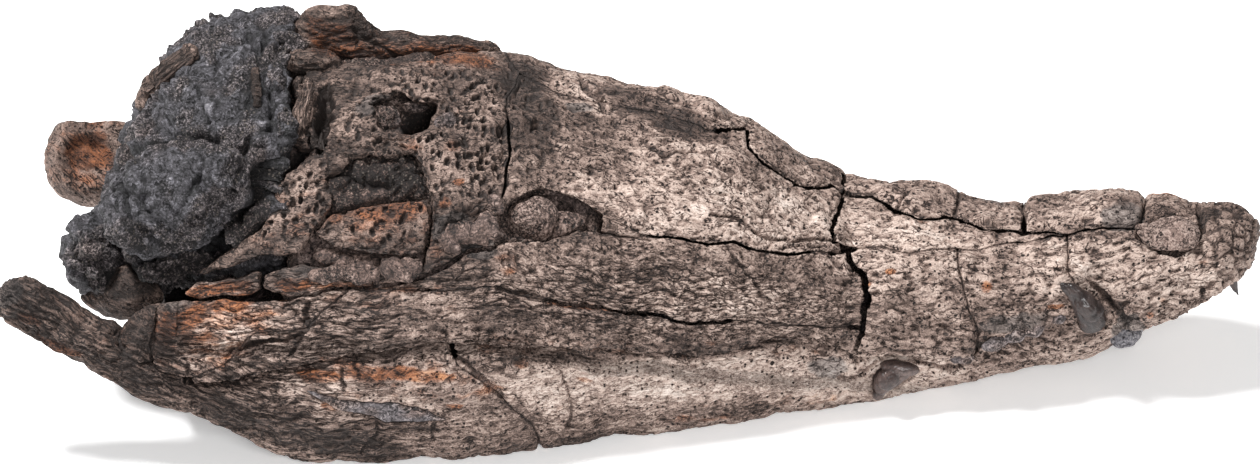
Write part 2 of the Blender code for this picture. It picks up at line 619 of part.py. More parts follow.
    # Lower jaw.
    right, left = jaw_half(-1), jaw_half(1, back_end=-262)
    fill = combine(copy_of(right), "INTERSECT", prism(FENESTRA, gap=2 * GAP))
    combine(right, "DIFFERENCE", prism(FENESTRA, gap=0))
    add(fill, "fenestra_fill_right", "rock")
    front_end = ((320, -60), (320, 200), (-100, 200))
    rear_end = ((-48, -120), (-400, -120), (-400, 200), (-100, 200))
    cut(right, join(back(MANDIBLE_CRACK), ((-100, 200),), back(front_end[:2])), "dentary_right")
    cut(right, join(MANDIBLE_CRACK, rear_end), "surangular_right", "dark_bone")
    for name, start, end in (("dentary_left", -90, 300), ("surangular_left", -262, -90)):
        piece = combine(copy_of(left), "INTERSECT",
                        prism(((start, LOW), (end, LOW), (end, HIGH), (start, HIGH)), side=1))
        add(piece, name)
    process = add(left_process(), "retroarticular_left", "rusty_bone")
    make_room(block, process)
    articular = rod(ARTICULAR, (13, 9, 5, 1.5), 0.9, sides=8)
    make_room(block, articular)
    make_room(made["surangular_right"][0], articular, made["quadratojugal_right"][0])
    combine(articular, "DIFFERENCE", prism(quadratojugal, gap=-GAP))
    add(articular, "articular_right", "dark_bone")

    # Teeth. Each is let into the bones that it stands in or lies against.
    for name, item in (("tooth_canine_right", canine(-1)), ("tooth_canine_left", canine(1)),
                       ("tooth_front_right", front_tooth(-1)), ("tooth_front_left", front_tooth(1)),
                       ("tooth_lump_right", ball((147, -52, 20), (13.5, 8, 10), tilt=-15))):
        for neighbour in ("premaxillae", "premaxilla_left", "maxilla_canine", "maxilla_front_lower",
                          "dentary_right", "dentary_left"):
            make_room(made[neighbour][0], item)
        add(item, name, "tooth")

    for name, (item, finish) in made.items():
        place(item, name, finish, skull)
    for item in (blank, hollow, far, near, right, left):
        bpy.data.objects.remove(item)


main()
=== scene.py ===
"""The looks of a fossil crocodile skull, held in dark grey rock.

Every CAD node is replaced by a fine mesh of the same solid. Its facets are rounded, its edges are
worn where bones meet, and its surface is carved with pits, winding grooves, streaks and cracks.
Each vertex also keeps how pale, rusty, streaked or dark the bone is there, for the materials.

Sizes are in millimetres until a mesh is made. The skull lies with the snout towards +X, and the
picture looks down on its right side from TILT above the floor. Places on the skull are given as
(x, h): x along the skull, and h the height in that slanted picture.
"""

import json
import math

import bmesh
import bpy
import numpy as np
from mathutils import Matrix, Vector
from mathutils.bvhtree import BVHTree

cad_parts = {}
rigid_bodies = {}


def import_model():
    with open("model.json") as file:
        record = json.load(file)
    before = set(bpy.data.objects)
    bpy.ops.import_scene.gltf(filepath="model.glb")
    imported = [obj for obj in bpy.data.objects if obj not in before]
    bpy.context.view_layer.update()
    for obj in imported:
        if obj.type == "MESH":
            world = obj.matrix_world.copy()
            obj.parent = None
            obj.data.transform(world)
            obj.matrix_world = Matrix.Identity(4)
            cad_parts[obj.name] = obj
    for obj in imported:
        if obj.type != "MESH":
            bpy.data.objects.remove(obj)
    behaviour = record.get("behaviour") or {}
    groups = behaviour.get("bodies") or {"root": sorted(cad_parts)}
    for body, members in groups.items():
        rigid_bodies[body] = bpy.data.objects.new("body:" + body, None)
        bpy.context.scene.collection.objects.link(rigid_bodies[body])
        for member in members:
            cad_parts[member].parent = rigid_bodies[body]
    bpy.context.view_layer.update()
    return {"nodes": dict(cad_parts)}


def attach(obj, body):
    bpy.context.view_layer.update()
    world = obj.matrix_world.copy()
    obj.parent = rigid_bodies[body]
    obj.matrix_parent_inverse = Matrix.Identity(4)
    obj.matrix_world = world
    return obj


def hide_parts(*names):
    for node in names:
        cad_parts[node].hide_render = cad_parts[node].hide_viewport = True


MM = 0.001
TILT = math.radians(35)
SEED = 11
REACH = 6.0                       # how far a seam is looked for
FAR = 500.0                       # from here a ray towards the skull meets its near side
WELD = 1e-6                       # in metres
SHARP = math.radians(32)          # edges of the CAD that are sharper than this aren't rounded
ROUNDING, MOST_ROUNDING = 0.7, 3.0  # the share of the full rounding, and its limit
SOFT_EDGE = 1.3, 0.55             # where a soft-edged ellipse ends and where it is full, in its radii
TINY = 1e-9                       # keeps a divisor above zero

# The ridge of the skull in plan, (x, y). What lies left of it repeats what lies right of it.
RIDGE = ((-268, 77), (-128, 79), (-17, 68), (94, 49), (150, 38), (239, 25), (294, 24), (348, 5))

# How the fibres of the bone run, (x, h), on the upper skull and on the lower jaw.
UPPER_GRAIN = ((-155, 35), (-71, 37), (-17, 26), (60, 18), (129, 14), (250, 0), (350, 20))
LOWER_GRAIN = ((-350, 30), (-320, 12), (-295, -5), (-261, -20), (-217, -37), (-190, -45), (-120, -45),
               (0, -45), (290, -30))
JAW_END = -250                    # behind this x there is only the lower jaw
GRAIN_SQUEEZE = 5                 # how much longer the pattern is along the fibres

# Spacing of the vertices, for the pieces that don't have DEFAULT_SPACING.
DEFAULT_SPACING = 1.0
SPACING = {
    "rock_behind_skull": 1.25, "rock_in_skull": 2.0, "rock_between_jaws": 2.8,
    "orbit_fill": 0.6, "orbit_fill_front": 0.6, "naris_fill": 0.6,
    "skull_table": 0.85, "postorbital_right": 0.8, "squamosal_right": 0.8, "postorbital_left": 1.2,
    "maxilla_left_front": 1.2, "maxilla_left_rear": 1.2, "jugal_left": 1.3,
    "surangular_left": 1.4, "dentary_left": 1.8,
    "hyoid_rod": 0.6, "cervical_rib": 0.7, "rib": 0.8, "quadrate_condyle_right": 0.7,
    "splinter_rear": 0.6, "splinter_front": 0.6,
    "tooth_canine_right": 0.5, "tooth_canine_left": 0.6, "tooth_front_right": 0.4,
    "tooth_front_left": 0.4, "tooth_lump_right": 0.6,
    "pebble": 0.7, "snout_matrix": 0.7, "naris_matrix": 0.6, "table_rim": 0.8, "orbit_matrix": 0.9,
    "tooth_row": 0.7, "fang": 0.6, "canine": 0.5, "rock_dome": 1.2, "rock_bridge": 1.2,
}

# Soft-edged ellipses on the skull: x, h, half length, half height, slope in degrees, strength.
PALE = (
    # snout
    (153, 64, 61, 14, -8, 0.5), (233, 51, 50, 28, -2, 0.45), (297, 41, 28, 22, 0, 0.4),
    (211, 73, 33, 6, -6, 0.5), (253, 77, 25, 7, -3, 0.4), (255, 15, 7, 4, 0, 0.8),
    # between the snout and the orbit
    (94, 83, 111, 29, -14, 0.7), (-31, 144, 22, 8, -25, 0.7), (33, 108, 28, 11, -20, 0.4),
    (45, 30, 70, 13, -3, 0.55),
    # skull table
    (-81, 140, 16, 12, -10, 0.5), (-128, 149, 22, 8, -8, 0.4), (-159, 127, 10, 10, 0, 0.5),
    (-89, 105, 22, 17, -30, 0.65), (-119, 118, 12, 4, -10, 0.8), (-141, 142, 12, 3, 15, 0.7),
    (-86, 126, 13, 18, 0, 0.4), (-181, 134, 6, 17, -5, 0.9), (-110, 166, 44, 7, -8, 0.6),
    # cheek, temple and orbit
    (-175, 96, 12, 8, 30, 0.6), (-203, 66, 17, 6, 35, 0.6), (-145, 71, 28, 11, 0, 0.15),
    (-160, 67, 9, 6, 0, 0.5),
    # front of the lower jaw
    (5, -17, 106, 14, 4, 1.25), (132, -15, 50, 12, 8, 1.2),
    # rear of the lower jaw
    (-128, -14, 50, 9, -8, 0.4), (-131, -48, 33, 4, 4, 0.35), (-223, 12, 32, 12, 20, 0.65),
    (-236, -5, 12, 6, 15, 0.8), (-123, 35, 39, 7, -4, 0.5), (-150, -25, 50, 11, -5, 0.9),
    (-90, -30, 40, 8, 2, 0.65),
)
DARK = (
    # snout
    (120, 92, 90, 14, -12, 0.42), (211, 84, 34, 5, -2, 0.25), (334, 72, 18, 20, 0, 0.25),
    (294, 71, 17, 11, 0, 0.5), (225, 13, 25, 7, 8, 0.35), (183, 5, 33, 6, 4, 0.4),
    (120, 96, 14, 6, -20, 0.3), (185, 28, 66, 30, -3, 0.16), (236, 70, 60, 6, -3, 0.25),
    # between the snout and the orbit
    (-25, 128, 60, 24, -30, 0.35), (-61, 149, 19, 19, -50, 0.9), (-25, 70, 25, 10, 0, 0.4),
    (16, 133, 44, 8, -22, 0.8), (12, 104, 34, 16, -15, 0.28), (94, 105, 28, 6, -32, 0.5),
    (-60, 128, 22, 26, 0, 1.0),
    # skull table
    (-128, 118, 92, 75, 0, 0.7), (-128, 171, 66, 20, -10, 0.6), (-98, 163, 33, 4, -5, 0.6),
    (-208, 147, 8, 18, 0, 0.75), (-178, 161, 16, 10, 0, 0.35), (-179, 130, 10, 24, 0, 0.15),
    # cheek, temple and orbit
    (-190, 70, 50, 34, 35, 0.55), (-130, 60, 62, 30, 0, 0.6), (-139, 96, 34, 10, -3, 0.8),
    (-89, 68, 17, 17, 0, 0.5), (-167, 46, 33, 8, -5, 0.6), (-73, 85, 12, 11, 0, 0.3),
    # the last patch here, at (-197, 97), is a painted shadow in the hollow behind the rock dome
    (-172, 100, 24, 12, 25, 0.5), (-134, 98, 34, 14, -5, 0.75), (-197, 97, 12, 14, -35, 1.0),
    (-152, 53, 34, 6, -2, 0.5), (-132, 64, 34, 7, -2, 0.45),
    # front of the lower jaw
    (5, -48, 111, 4, 4, 0.45), (5, 1, 89, 4, 3, 0.5),
    # rear of the lower jaw
    (-300, 18, 66, 34, -30, 0.6), (-225, -20, 60, 20, -20, 0.4), (-184, -44, 72, 9, -14, 0.5),
    (-278, -4, 33, 9, -38, 0.5), (-100, -26, 22, 7, -30, 0.3), (-276, 38, 16, 12, 0, 1.0),
    (-160, -10, 44, 10, -6, 0.35),
    # rock behind the skull, and bones in it
    (-303, 108, 34, 28, 0, 0.35), (-256, 156, 22, 16, 40, 0.5),
)
RUST = (
    # snout
    (304, 87, 14, 1.2, -4, 0.8), (132, 39, 3, 2, 0, 1.0), (144, 46, 3, 2, 10, 1.0),
    (197, 37, 3, 4, 0, 0.9), (236, 26, 5, 2, 0, 0.9), (288, 22, 3, 2, 0, 0.8), (294, 30, 3, 2, 0, 0.6),
    # between the snout and the orbit
    (-24, 26, 24, 1.8, -5, 1.1),
    # skull table
    (-128, 171, 60, 18, -10, 0.36), (-165, 175, 20, 11, -20, 1.1), (-140, 166, 14, 5, -20, 0.8),
    (-125, 119, 14, 5, -20, 0.6), (-97, 112, 6, 8, 0, 0.6), (-108, 167, 38, 7, -8, 0.75),
    # cheek, temple and orbit
    (-135, 72, 46, 16, 0, 0.4), (-190, 75, 40, 20, 35, 0.3), (-164, 77, 7, 8, 0, 0.7),
    (-136, 79, 26, 9, 0, 0.7), (-106, 58, 8, 9, 0, 0.6), (-95, 95, 4, 3, 0, 0.9),
    (-103, 83, 4, 4, 0, 0.8), (-70, 49, 8, 8, 0, 0.5), (-200, 63, 14, 6, 35, 0.35),
    # front of the lower jaw
    (-30, 5, 90, 8, 0, 0.25), (-60, -5, 5, 3, 0, 0.7), (-25, -14, 6, 2, 0, 0.6), (89, 1, 22, 3, 0, 0.3),
    (94, -26, 33, 4, 5, 0.35), (33, -37, 33, 3, 5, 0.35),
    # rear of the lower jaw
    (-230, 15, 52, 20, 12, 0.42), (-130, 32, 60, 10, -5, 0.35), (-130, -14, 70, 12, -6, 0.35),
    (-300, 20, 60, 24, -30, 0.3), (-245, 20, 19, 9, 20, 1.0), (-220, 28, 20, 5, 12, 0.8),
    (-227, 36, 20, 4, 5, 1.0), (-184, 39, 13, 4, 5, 1.0), (-131, -10, 39, 5, -6, 0.9),
    (-173, -12, 13, 4, -10, 1.0), (-166, -28, 6, 3, 0, 0.8), (-121, -33, 8, 3, 10, 0.7),
    (-97, -28, 6, 2, 0, 0.7), (-84, -17, 17, 6, -20, 0.4), (-231, -4, 13, 7, 20, 0.5),
    (-134, 35, 33, 6, -5, 0.5), (-150, 37, 30, 3, 3, 0.7), (-314, 4, 16, 3, -26, 1.1),
    (-334, 20, 8, 3, -20, 0.8),
    # rock behind the skull, and bones in it
    (-303, 108, 30, 24, 0, 0.35), (-303, 112, 15, 11, 10, 0.9), (-298, 119, 8, 6, 0, 0.7),
)
PITTED = (
    (-106, 124, 61, 42, 0, 1.0), (-189, 83, 33, 17, 40, 0.9), (-134, 73, 31, 12, 0, 0.9),
    (-61, 49, 17, 10, 0, 0.5), (-25, 83, 28, 17, 0, 0.3),
)
SCALY = ((330, 71, 22, 24, 0, 1.0), (214, 18, 22, 7, 8, 0.8), (262, 84, 26, 8, -5, 0.6))
CRUSTED = (                       # where grey rock still covers the bone
    (276, 13, 9, 9, 40, 1.0), (272, 76, 12, 7, 0, 0.9), (212, 17, 20, 6, 8, 0.6),
    (-100, 70, 14, 7, 20, 0.8), (-86, 60, 12, 9, 0, 0.8), (-29, 137, 9, 3, -3, 0.9),
    (-142, 137, 14, 6, 20, 0.7), (-250, 28, 10, 5, 0, 0.5), (-180, 46, 16, 6, 10, 0.5),
    (-345, 36, 12, 10, 0, 0.8), (110, -8, 12, 6, 0, 0.6),
)
STREAKED = (
    (11, 30, 133, 24, -3, 1.0), (-200, 8, 83, 33, 10, 1.0), (-211, -26, 111, 39, -14, 1.0),
    (-317, 19, 50, 28, -30, 1.0), (-128, 171, 56, 17, -10, 1.0), (5, -26, 139, 22, 3, 0.5),
    (-256, 156, 22, 16, 40, 1.0), (-179, 134, 10, 24, 0, 1.0), (-208, 147, 8, 18, 0, 0.8),
    (-196, 38, 60, 10, 3, 1.0),
)

# Cracks in the bone as lines of (x, h), with half a width and a depth.
CRACKS = (
    # snout
    (((290, 60), (303, 56), (311, 60), (318, 72), (316, 81)), 1.6, 4),
    (((260, 35), (272, 23), (278, 19), (267, 2)), 1.2, 3),
    (((318, 37), (316, 28)), 0.9, 2),
    (((218, 81), (218, 68)), 1.0, 2.5),
    (((257, 37), (262, 33), (268, 25), (276, 19)), 1.9, 5),
    (((180, 76), (184, 88)), 1.0, 2.5),
    (((147, 79), (153, 88)), 1.0, 2.5),
    # between the snout and the orbit
    (((-28, 154), (-25, 147), (-17, 141), (-15, 134)), 1.2, 4),
    (((9, 118), (19, 111), (29, 112), (47, 113)), 0.9, 2),
    (((44, 80), (59, 74), (69, 68), (80, 64), (111, 62)), 1.0, 2.5),
    (((53, 59), (66, 43), (73, 30)), 0.8, 1.5),
    # skull table
    (((-153, 180), (-136, 170), (-126, 159)), 1.1, 3),
    (((-93, 145), (-81, 152)), 0.9, 2),
    (((-121, 110), (-113, 97)), 1.2, 3),
    (((-167, 146), (-168, 136), (-171, 124), (-173, 113)), 3.4, 13),
    # cheek, temple and orbit
    (((-110, 82), (-110, 61)), 1.5, 4),
    # front of the lower jaw
    (((160, -4), (182, -8), (193, 5)), 1.2, 3),
    (((116, -14), (127, -14), (138, -5)), 1.0, 2.5),
    (((-39, -10), (-31, -26), (-34, -42)), 0.8, 1.5),
    # rear of the lower jaw
    (((-74, 36), (-60, 34), (-48, 30)), 0.9, 2),
    (((-222, 1), (-200, 7), (-191, 7), (-179, 14), (-177, 28)), 1.3, 3.5),
    (((-246, -6), (-246, -15)), 1.2, 3),
    (((-97, 1), (-86, -10), (-78, -17), (-71, -23)), 1.1, 3),
    (((-152, -2), (-150, -12)), 0.8, 2),
    (((-159, -8), (-158, -20)), 0.8, 2),
    (((-140, -39), (-140, -45), (-149, -54)), 0.9, 2),
    (((-109, -39), (-108, -48)), 0.9, 2),
    (((-195, 34), (-179, 16), (-187, 0)), 0.9, 2),
)
# Where the seam between two bones gapes along such a line, by how much on each side, and how deep.
GAPES = (
    (((118, 104), (114, 85), (115, 70), (112, 61)), 0.8, 3.5),
    (((114, 60), (125, 51), (130, 30), (126, 5)), 1.1, 5.0),
    (((53, 123), (65, 119), (71, 108), (86, 98), (103, 91), (112, 95)), 0.8, 2.6),
    (((112, 95), (128, 90), (145, 79), (168, 76), (180, 76)), 0.5, 2.0),
    (((180, 76), (184, 73), (200, 68), (215, 68)), 0.5, 2.0),
    (((219, 70), (250, 70), (266, 69), (283, 68)), 0.1, 0.9),
    (((-42, 30), (-17, 27), (-3, 25), (11, 21), (28, 18), (50, 16)), 0.45, 1.8),
    (((-114, 41), (-98, 48), (-86, 56), (-73, 60), (-50, 61)), 0.9, 2.4),
    (((14, 69), (33, 64), (61, 59), (94, 55)), 0.35, 1.2),
    (((-111, 5), (-61, 3), (-17, 1), (28, -1), (61, 5), (94, 9), (119, 5)), 1.0, 3.0),
    (((-68, 123), (-66, 110), (-68, 93)), 0.3, 1.2),
)
# The same as cracks, in the rock: the deep shadow behind the dome, and creases.
GROOVES = (
    (((-186, 108), (-192, 94), (-205, 81), (-218, 64), (-236, 51), (-250, 39)), 7, 12),
    (((-207, 185), (-201, 178), (-207, 163)), 3, 4),
    (((-279, 73), (-273, 63), (-267, 54)), 3, 4),
    (((-291, 97), (-276, 114), (-250, 123), (-226, 121)), 2.2, 5),
    (((-212, 119), (-214, 104), (-219, 90)), 2.5, 6),
    (((-281, 94), (-277, 75), (-263, 60), (-246, 54)), 2.0, 4),
    (((-270, 98), (-268, 80), (-256, 68), (-243, 62)), 1.6, 2.5),
    (((-297, 84), (-286, 92), (-279, 106)), 1.6, 3),
    (((-240, 118), (-236, 104), (-242, 92)), 1.4, 2.5),
    (((-236, 180), (-232, 160), (-240, 142), (-236, 128)), 1.8, 3),
    (((-212, 178), (-203, 160), (-196, 140), (-200, 124)), 2.0, 4),
)
# Lumps and hollows, (x, h), half length, half height, slope, height.
LUMPS = (
    (-17, 71, 7, 5, 0, 1.6), (-16, 71, 2.2, 2.2, 0, -3.5), (45, 138, 9, 6, -30, 2.5),
    (21, 145, 7, 5, -30, 1.6), (200, 17, 7, 6, 0, 2.2), (212, 15, 6, 5, 0, 1.8),
    (224, 18, 6, 5, 0, 2.0), (238, 19, 5, 5, 0, 1.6), (262, 20, 8, 15, 10, -2.0),
    (255, 15, 6, 4, 0, 2.0), (-303, 109, 15, 13, 10, -8.0), (-303, 109, 22, 20, 10, 2.5),
    (-70, 123, 5, 4, 0, -4.0), (-52, 127, 2.5, 2.5, 0, -4.0), (-62, 145, 14, 10, -50, -3.0),
    (-80, 108, 3, 8, -15, -3.0), (-72, 104, 3, 9, -10, -3.0), (-89, 68, 12, 12, 0, -3.0),
)
ROCK_LUMPS = (
    (-139, 90, 36, 15, 0, 5.0), (-197, 97, 11, 14, -35, -24.0), (-150, 42, 40, 9, 5, 3.0),
    (-252, 130, 22, 8, 20, -4.0), (-226, 150, 24, 14, 20, 3.0), (-283, 62, 16, 14, 0, 3.0),
)
# What the CAD leaves out, as overlapping ellipsoids half sunk in it: the slot, and for each
# (x, h, half length, half height, half thickness, slope).
MASSES = {
    "temple_matrix": ("rock", (
        (-134, 100, 18, 10, 8, -12), (-151, 102, 11, 9, 7, 20), (-123, 92, 10, 5, 6, -30),
        (-162, 92, 10, 6, 5, 20))),
    "quadrate_ridge": ("dark_bone", (
        (-171, 103, 17, 8, 7, 25), (-187, 92, 11, 8, 6, 48), (-157, 109, 11, 4, 4, 0))),
    "cheek_matrix": ("rock", (
        (-152, 53, 24, 5, 6, -2), (-127, 49, 12, 7, 5, -5), (-158, 45, 18, 4, 4, 4))),
    "table_column": ("bone", ((-180, 134, 7, 20, 10, -4), (-183, 146, 5, 9, 8, 0))),
    "table_knob": ("dark_bone", ((-176, 161, 16, 9, 9, 0),)),
    "rock_bridge": ("rock", (
        (-189, 171, 12, 9, 6, 0), (-194, 150, 5, 12, 4, 0), (-191, 128, 5, 12, 4, 0))),
    "fenestra_slope": ("rock", (
        (-137, 130, 12, 9, 5, 12), (-126, 138, 14, 4, 5, -5), (-102, 127, 9, 6, 3, 40))),
    "rib_blade": ("dark_bone", ((-253, 159, 17, 6.5, 4, 42), (-267, 148, 6, 6, 4, 30))),
    "rock_dome": ("rock", ((-252, 86, 42, 31, 20, 18), (-228, 104, 14, 16, 13, 60))),
    "rock_roll": ("rock", ((-208, 75, 26, 7, 8, 44), (-245, 50, 28, 8, 7, 12))),
    "pebble": ("rock", ((-268, 48, 8, 6, 5, -10),)),
    "snout_matrix": ("rock", ((276, 11, 12, 8, 6, 42),)),
    "naris_matrix": ("rock", (
        (288, 64, 9, 5, 3, -28), (283, 71, 5, 4, 3, 0), (309, 61, 7, 3.5, 3, 20))),
    "orbit_matrix": ("rock", (
        (-81, 69, 7, 10, 3.5, 0), (-91, 67, 11, 8, 3.5, 0), (-99, 60, 8, 5, 3, -40),
        (-76, 82, 5, 6, 3, 20))),
    "table_rim": ("dark_bone", (
        (-136, 143, 10, 3, 3, 19), (-108, 141, 8, 3, 3, -22), (-134, 121, 9, 2.5, 3, 0),
        (-158, 112, 13, 4, 5, -6), (-131, 111, 11, 3.5, 5, 5), (-117, 101, 4, 9, 5, 20))),
    "tooth_row": ("rock", (
        (202, 6, 8, 4.5, 6, 20), (213, 10, 6, 4.5, 6, 10), (224, 14, 7, 4.5, 6, 20),
        (236, 19, 6, 4.5, 5, 25), (184, -1, 7, 4, 2.5, -10))),
    "canine": ("tooth", (
        (247, 34, 7, 3.5, 3, -45), (252, 28, 8, 6, 4.5, -55), (256, 24, 6.5, 6.5, 4, -70))),
    "fang": ("tooth", (
        (150, -8, 11, 4.5, 5, -8), (143, -14, 7, 6, 5, 35), (138, -21, 3.5, 5.5, 4, -25))),
}

# Single bones that differ from the rest: the slope of their fibres, in degrees, how far they stand
# over their neighbours, and how strong their fine relief and their swellings are.
GRAIN_SLOPES = {"table_column": 84, "rib_blade": 42, "rib": 88}
STANDS_PROUD = {"nasal_front": 2.6, "premaxilla_left": 2.0, "nasal_rear": 0.8}
RELIEF = {"hyoid_rod": 0.3, "quadrate_condyle_right": 0.3, "retroarticular_left": 0.35, "rib": 0.5,
          "cervical_rib": 0.6, "rib_blade": 0.7, "splinter_rear": 0.7, "splinter_front": 0.7}
SWELLING = {"nasal_front": 1.9, "premaxilla_left": 1.7, "nasal_rear": 1.5, "squamosal_left": 1.6}

# How rough, brown and light each rock is, and the least of it that is rubble.
ROCKS = {
    "rock_behind_skull": (1.0, 0, 0, 0),
    "rock_dome": (0.62, 0, 0, 0),
    "rock_roll": (1.0, 0.1, -0.15, 0.9),
    "rock_bridge": (0.8, 0, 0, 0.8),
    "pebble": (0.2, 0, -0.25, 0),
    "rock_in_skull": (0.7, 0.7, 0, 0),
    "rock_between_jaws": (0.5, 0.3, 0, 0),
    "temple_matrix": (0.85, 0.9, -0.1, 0.8),
    "cheek_matrix": (0.5, 1.0, -0.1, 0),
    "fenestra_slope": (0.22, 0.45, 0.4, 0),
    "fenestra_fill_right": (0.1, 0.3, 0.3, 0),
    "orbit_fill": (0.08, 1.0, 0.1, 0),
    "orbit_fill_front": (0.12, 1.0, 0, 0),
    "orbit_matrix": (0.3, 0.8, 0, 0),
    "naris_fill": (0.1, 1.0, 0.4, 0),
    "naris_matrix": (0.2, 0.9, 0.2, 0),
    # snout_matrix is pale rock, and lighter still as painted light on its shaded underside
    "snout_matrix": (0.15, 0, 0.9, 0),
    "tooth_row": (0.3, 0.4, 0.3, 0),
}
# Fillings with fine rings in them, and where the middle of the rings is.
RINGED = {"orbit_fill": (-56, 75), "orbit_fill_front": (-39, 70), "naris_fill": (301, 70)}
HOLE, HOLE_DEPTH = (-115, 130, 10, 7, 25, 1), 16.0      # the opening in the skull table's rock
WORN_TEETH = ("fang", "tooth_lump_right")
TOOTH_SQUEEZE = 0.14              # how much its lines are drawn out along a tooth
TOOTH_DRIFT = 0.3                 # the share of the skull's wandering shape that a tooth follows
HALF_GAP = 0.14                   # half the CAD's gap between neighbours, less a hair


# ---------------- noise

TABLE = 64
DICE = np.random.default_rng(SEED)
GRADIENTS = DICE.normal(size=(TABLE, TABLE, TABLE, 3)).astype(np.float32)
GRADIENTS /= np.linalg.norm(GRADIENTS, axis=-1, keepdims=True)
JITTER = DICE.random((TABLE, TABLE, TABLE, 3)).astype(np.float32)
CORNERS = [(i, j, k) for i in (0, 1) for j in (0, 1) for k in (0, 1)]
AROUND = [(i, j, k) for i in (-1, 0, 1) for j in (-1, 0, 1) for k in (-1, 0, 1)]


def smooth(low, high, value):
    """0 below low, 1 above high, and an even S between them. low may be the larger."""
    t = np.clip((value - low) / (high - low), 0, 1)
    return t * t * (3 - 2 * t)


def noise(points, size, shift=0.0):
    """Gradient noise from about -1 to 1, with features about size across."""
    q = points / size + shift
    cell = np.floor(q).astype(np.int64)
    part = (q - cell).astype(np.float32)
    blend = part * part * part * (part * (part * 6 - 15) + 10)
    total = np.zeros(len(q), np.float32)
    for corner in CORNERS:
        index = (cell + corner) % TABLE
        slope = GRADIENTS[index[:, 0], index[:, 1], index[:, 2]]
        weight = np.prod(np.where(corner, blend, 1 - blend), axis=1)
        total += weight * np.einsum("ij,ij->i", slope, part - np.array(corner, np.float32))
    return total * 1.6


def cells(points, size, shift=0.0):
    """Distances to the nearest two of some scattered points, and a random number for the nearest."""
    q = points / size + shift
    cell = np.floor(q).astype(np.int64)
    part = (q - cell).astype(np.float32)
    first = np.full(len(q), np.inf, np.float32)
    second = first.copy()
    number = np.zeros(len(q), np.float32)
    for step in AROUND:
        index = (cell + step) % TABLE
        spot = JITTER[index[:, 0], index[:, 1], index[:, 2]]
        far = np.linalg.norm(spot + np.array(step, np.float32) - part, axis=1)
        nearer = far < first
        second = np.where(nearer, first, np.minimum(second, far))
        first = np.where(nearer, far, first)
        number = np.where(nearer, (spot.sum(axis=1) * 7.13) % 1.0, number)
    return first, second, number


def groove(value, width):
    """1 along the winding lines where a noise crosses zero, fading to 0 at width."""
    return smooth(width, 0.0, np.abs(value))


def stray(points, size, shifts=(1.3, 4.1, 7.7)):
    """A smooth random step for each point, with one number for each shift."""
    return np.stack([noise(points, size, shift) for shift in shifts], axis=1)


# ---------------- places on the skull

def turned(x, h, slope):
    """Coordinates along and across a line that rises by slope degrees."""
    c, s = math.cos(math.radians(slope)), math.sin(math.radians(slope))
    return x * c + h * s, h * c - x * s


class Surface:
    """The vertices of one piece with what the sculpting needs to know about them."""

    def __init__(self, points, normals, seam, slope=None):
        x, y, z = points.T
        self.slope = slope
        ridge = np.interp(x, *zip(*RIDGE))
        left = y > ridge
        side = np.where(left, 2 * ridge - y, y)
        self.points, self.normals, self.seam = points, normals, seam
        self.x = x
        self.h = z * math.cos(TILT) + side * math.sin(TILT)
        across = np.where(left, normals[:, 1], -normals[:, 1])
        self.facing = across * math.cos(TILT) + normals[:, 2] * math.sin(TILT)
        self.ragged = 0.22 * noise(points, 17) + 0.14 * noise(points, 6)

    def grain(self):
        """Coordinates that run with the fibres of the bone, squeezed along them."""
        depth = self.points[:, 1] * math.cos(TILT) - self.points[:, 2] * math.sin(TILT)
        if self.slope is not None:
            along, across = turned(self.x, self.h, self.slope)
            return np.stack([along / GRAIN_SQUEEZE, across, depth], axis=1)
        upper_line = np.interp(self.x, *zip(*UPPER_GRAIN))
        lower_line = np.interp(self.x, *zip(*LOWER_GRAIN))
        lower = np.where(self.x < JAW_END, 1.0, smooth(-26, -38, self.h - upper_line))
        line = lower * lower_line + (1 - lower) * upper_line
        return np.stack([self.x / GRAIN_SQUEEZE, self.h - line, depth], axis=1)

    def painted(self, patches, ragged=1.0):
        """The strongest of some soft-edged ellipses at each vertex."""
        strongest = np.zeros(len(self.x))
        for x, h, length, height, slope, strength in patches:
            along, across = turned(self.x - x, self.h - h, slope)
            out = np.hypot(along / length, across / height) + ragged * self.ragged
            strongest = np.maximum(strongest, strength * smooth(*SOFT_EDGE, out))
        return strongest

    def heaped(self, lumps, ragged):
        """The height of some lumps at each vertex that can be seen from the side."""
        height = np.zeros(len(self.x))
        for *ellipse, rise in lumps:
            height += rise * self.painted(((*ellipse, 1),), ragged)
        return height * smooth(0, 0.3, self.facing)

    def distance(self, line, place):
        """How far each place is from a line of (x, h)."""
        nearest = np.full(len(self.x), np.inf)
        for a, b in zip(np.array(line[:-1], float), np.array(line[1:], float)):
            along = np.clip(((place - a) @ (b - a)) / ((b - a) @ (b - a)), 0, 1)
            nearest = np.minimum(nearest, np.linalg.norm(place - a - along[:, None] * (b - a), axis=1))
        return nearest

    def gaps(self):
        """How far the seams between bones are worn back."""
        place = np.stack([self.x, self.h], axis=1)
        ragged = np.maximum(1 + 0.45 * noise(self.points, 6, 8.8), 0.4)
        shut = smooth(-0.5, 0.7, noise(self.points, 15, 6.6))
        depth = 0.45 * shut * smooth(2.2, 0.9, self.seam) * smooth(0.35, 0.8, self.seam)
        for line, width, deep in GAPES:
            here = smooth(7.0, 4.0, self.distance(line, place))
            depth = np.maximum(depth, here * deep * smooth(width * ragged + 0.4, 0.35, self.seam))
        return depth

    def lines(self, lines):
        """How deep some cracks cut at each vertex that can be seen from the side."""
        depth = np.zeros(len(self.x))
        seen = smooth(0.0, 0.35, self.facing)
        place = np.stack([self.x, self.h], axis=1) + 1.3 * stray(self.points, 7, (3.3, 9.1))
        opening = 1 + 0.45 * noise(self.points, 5, 1.7)
        for line, width, deep in lines:
            nearest = self.distance(line, place)
            depth = np.maximum(depth, deep * smooth(1.5, 0.1, nearest / (width * opening)))
        return depth * seen


# ---------------- meshes

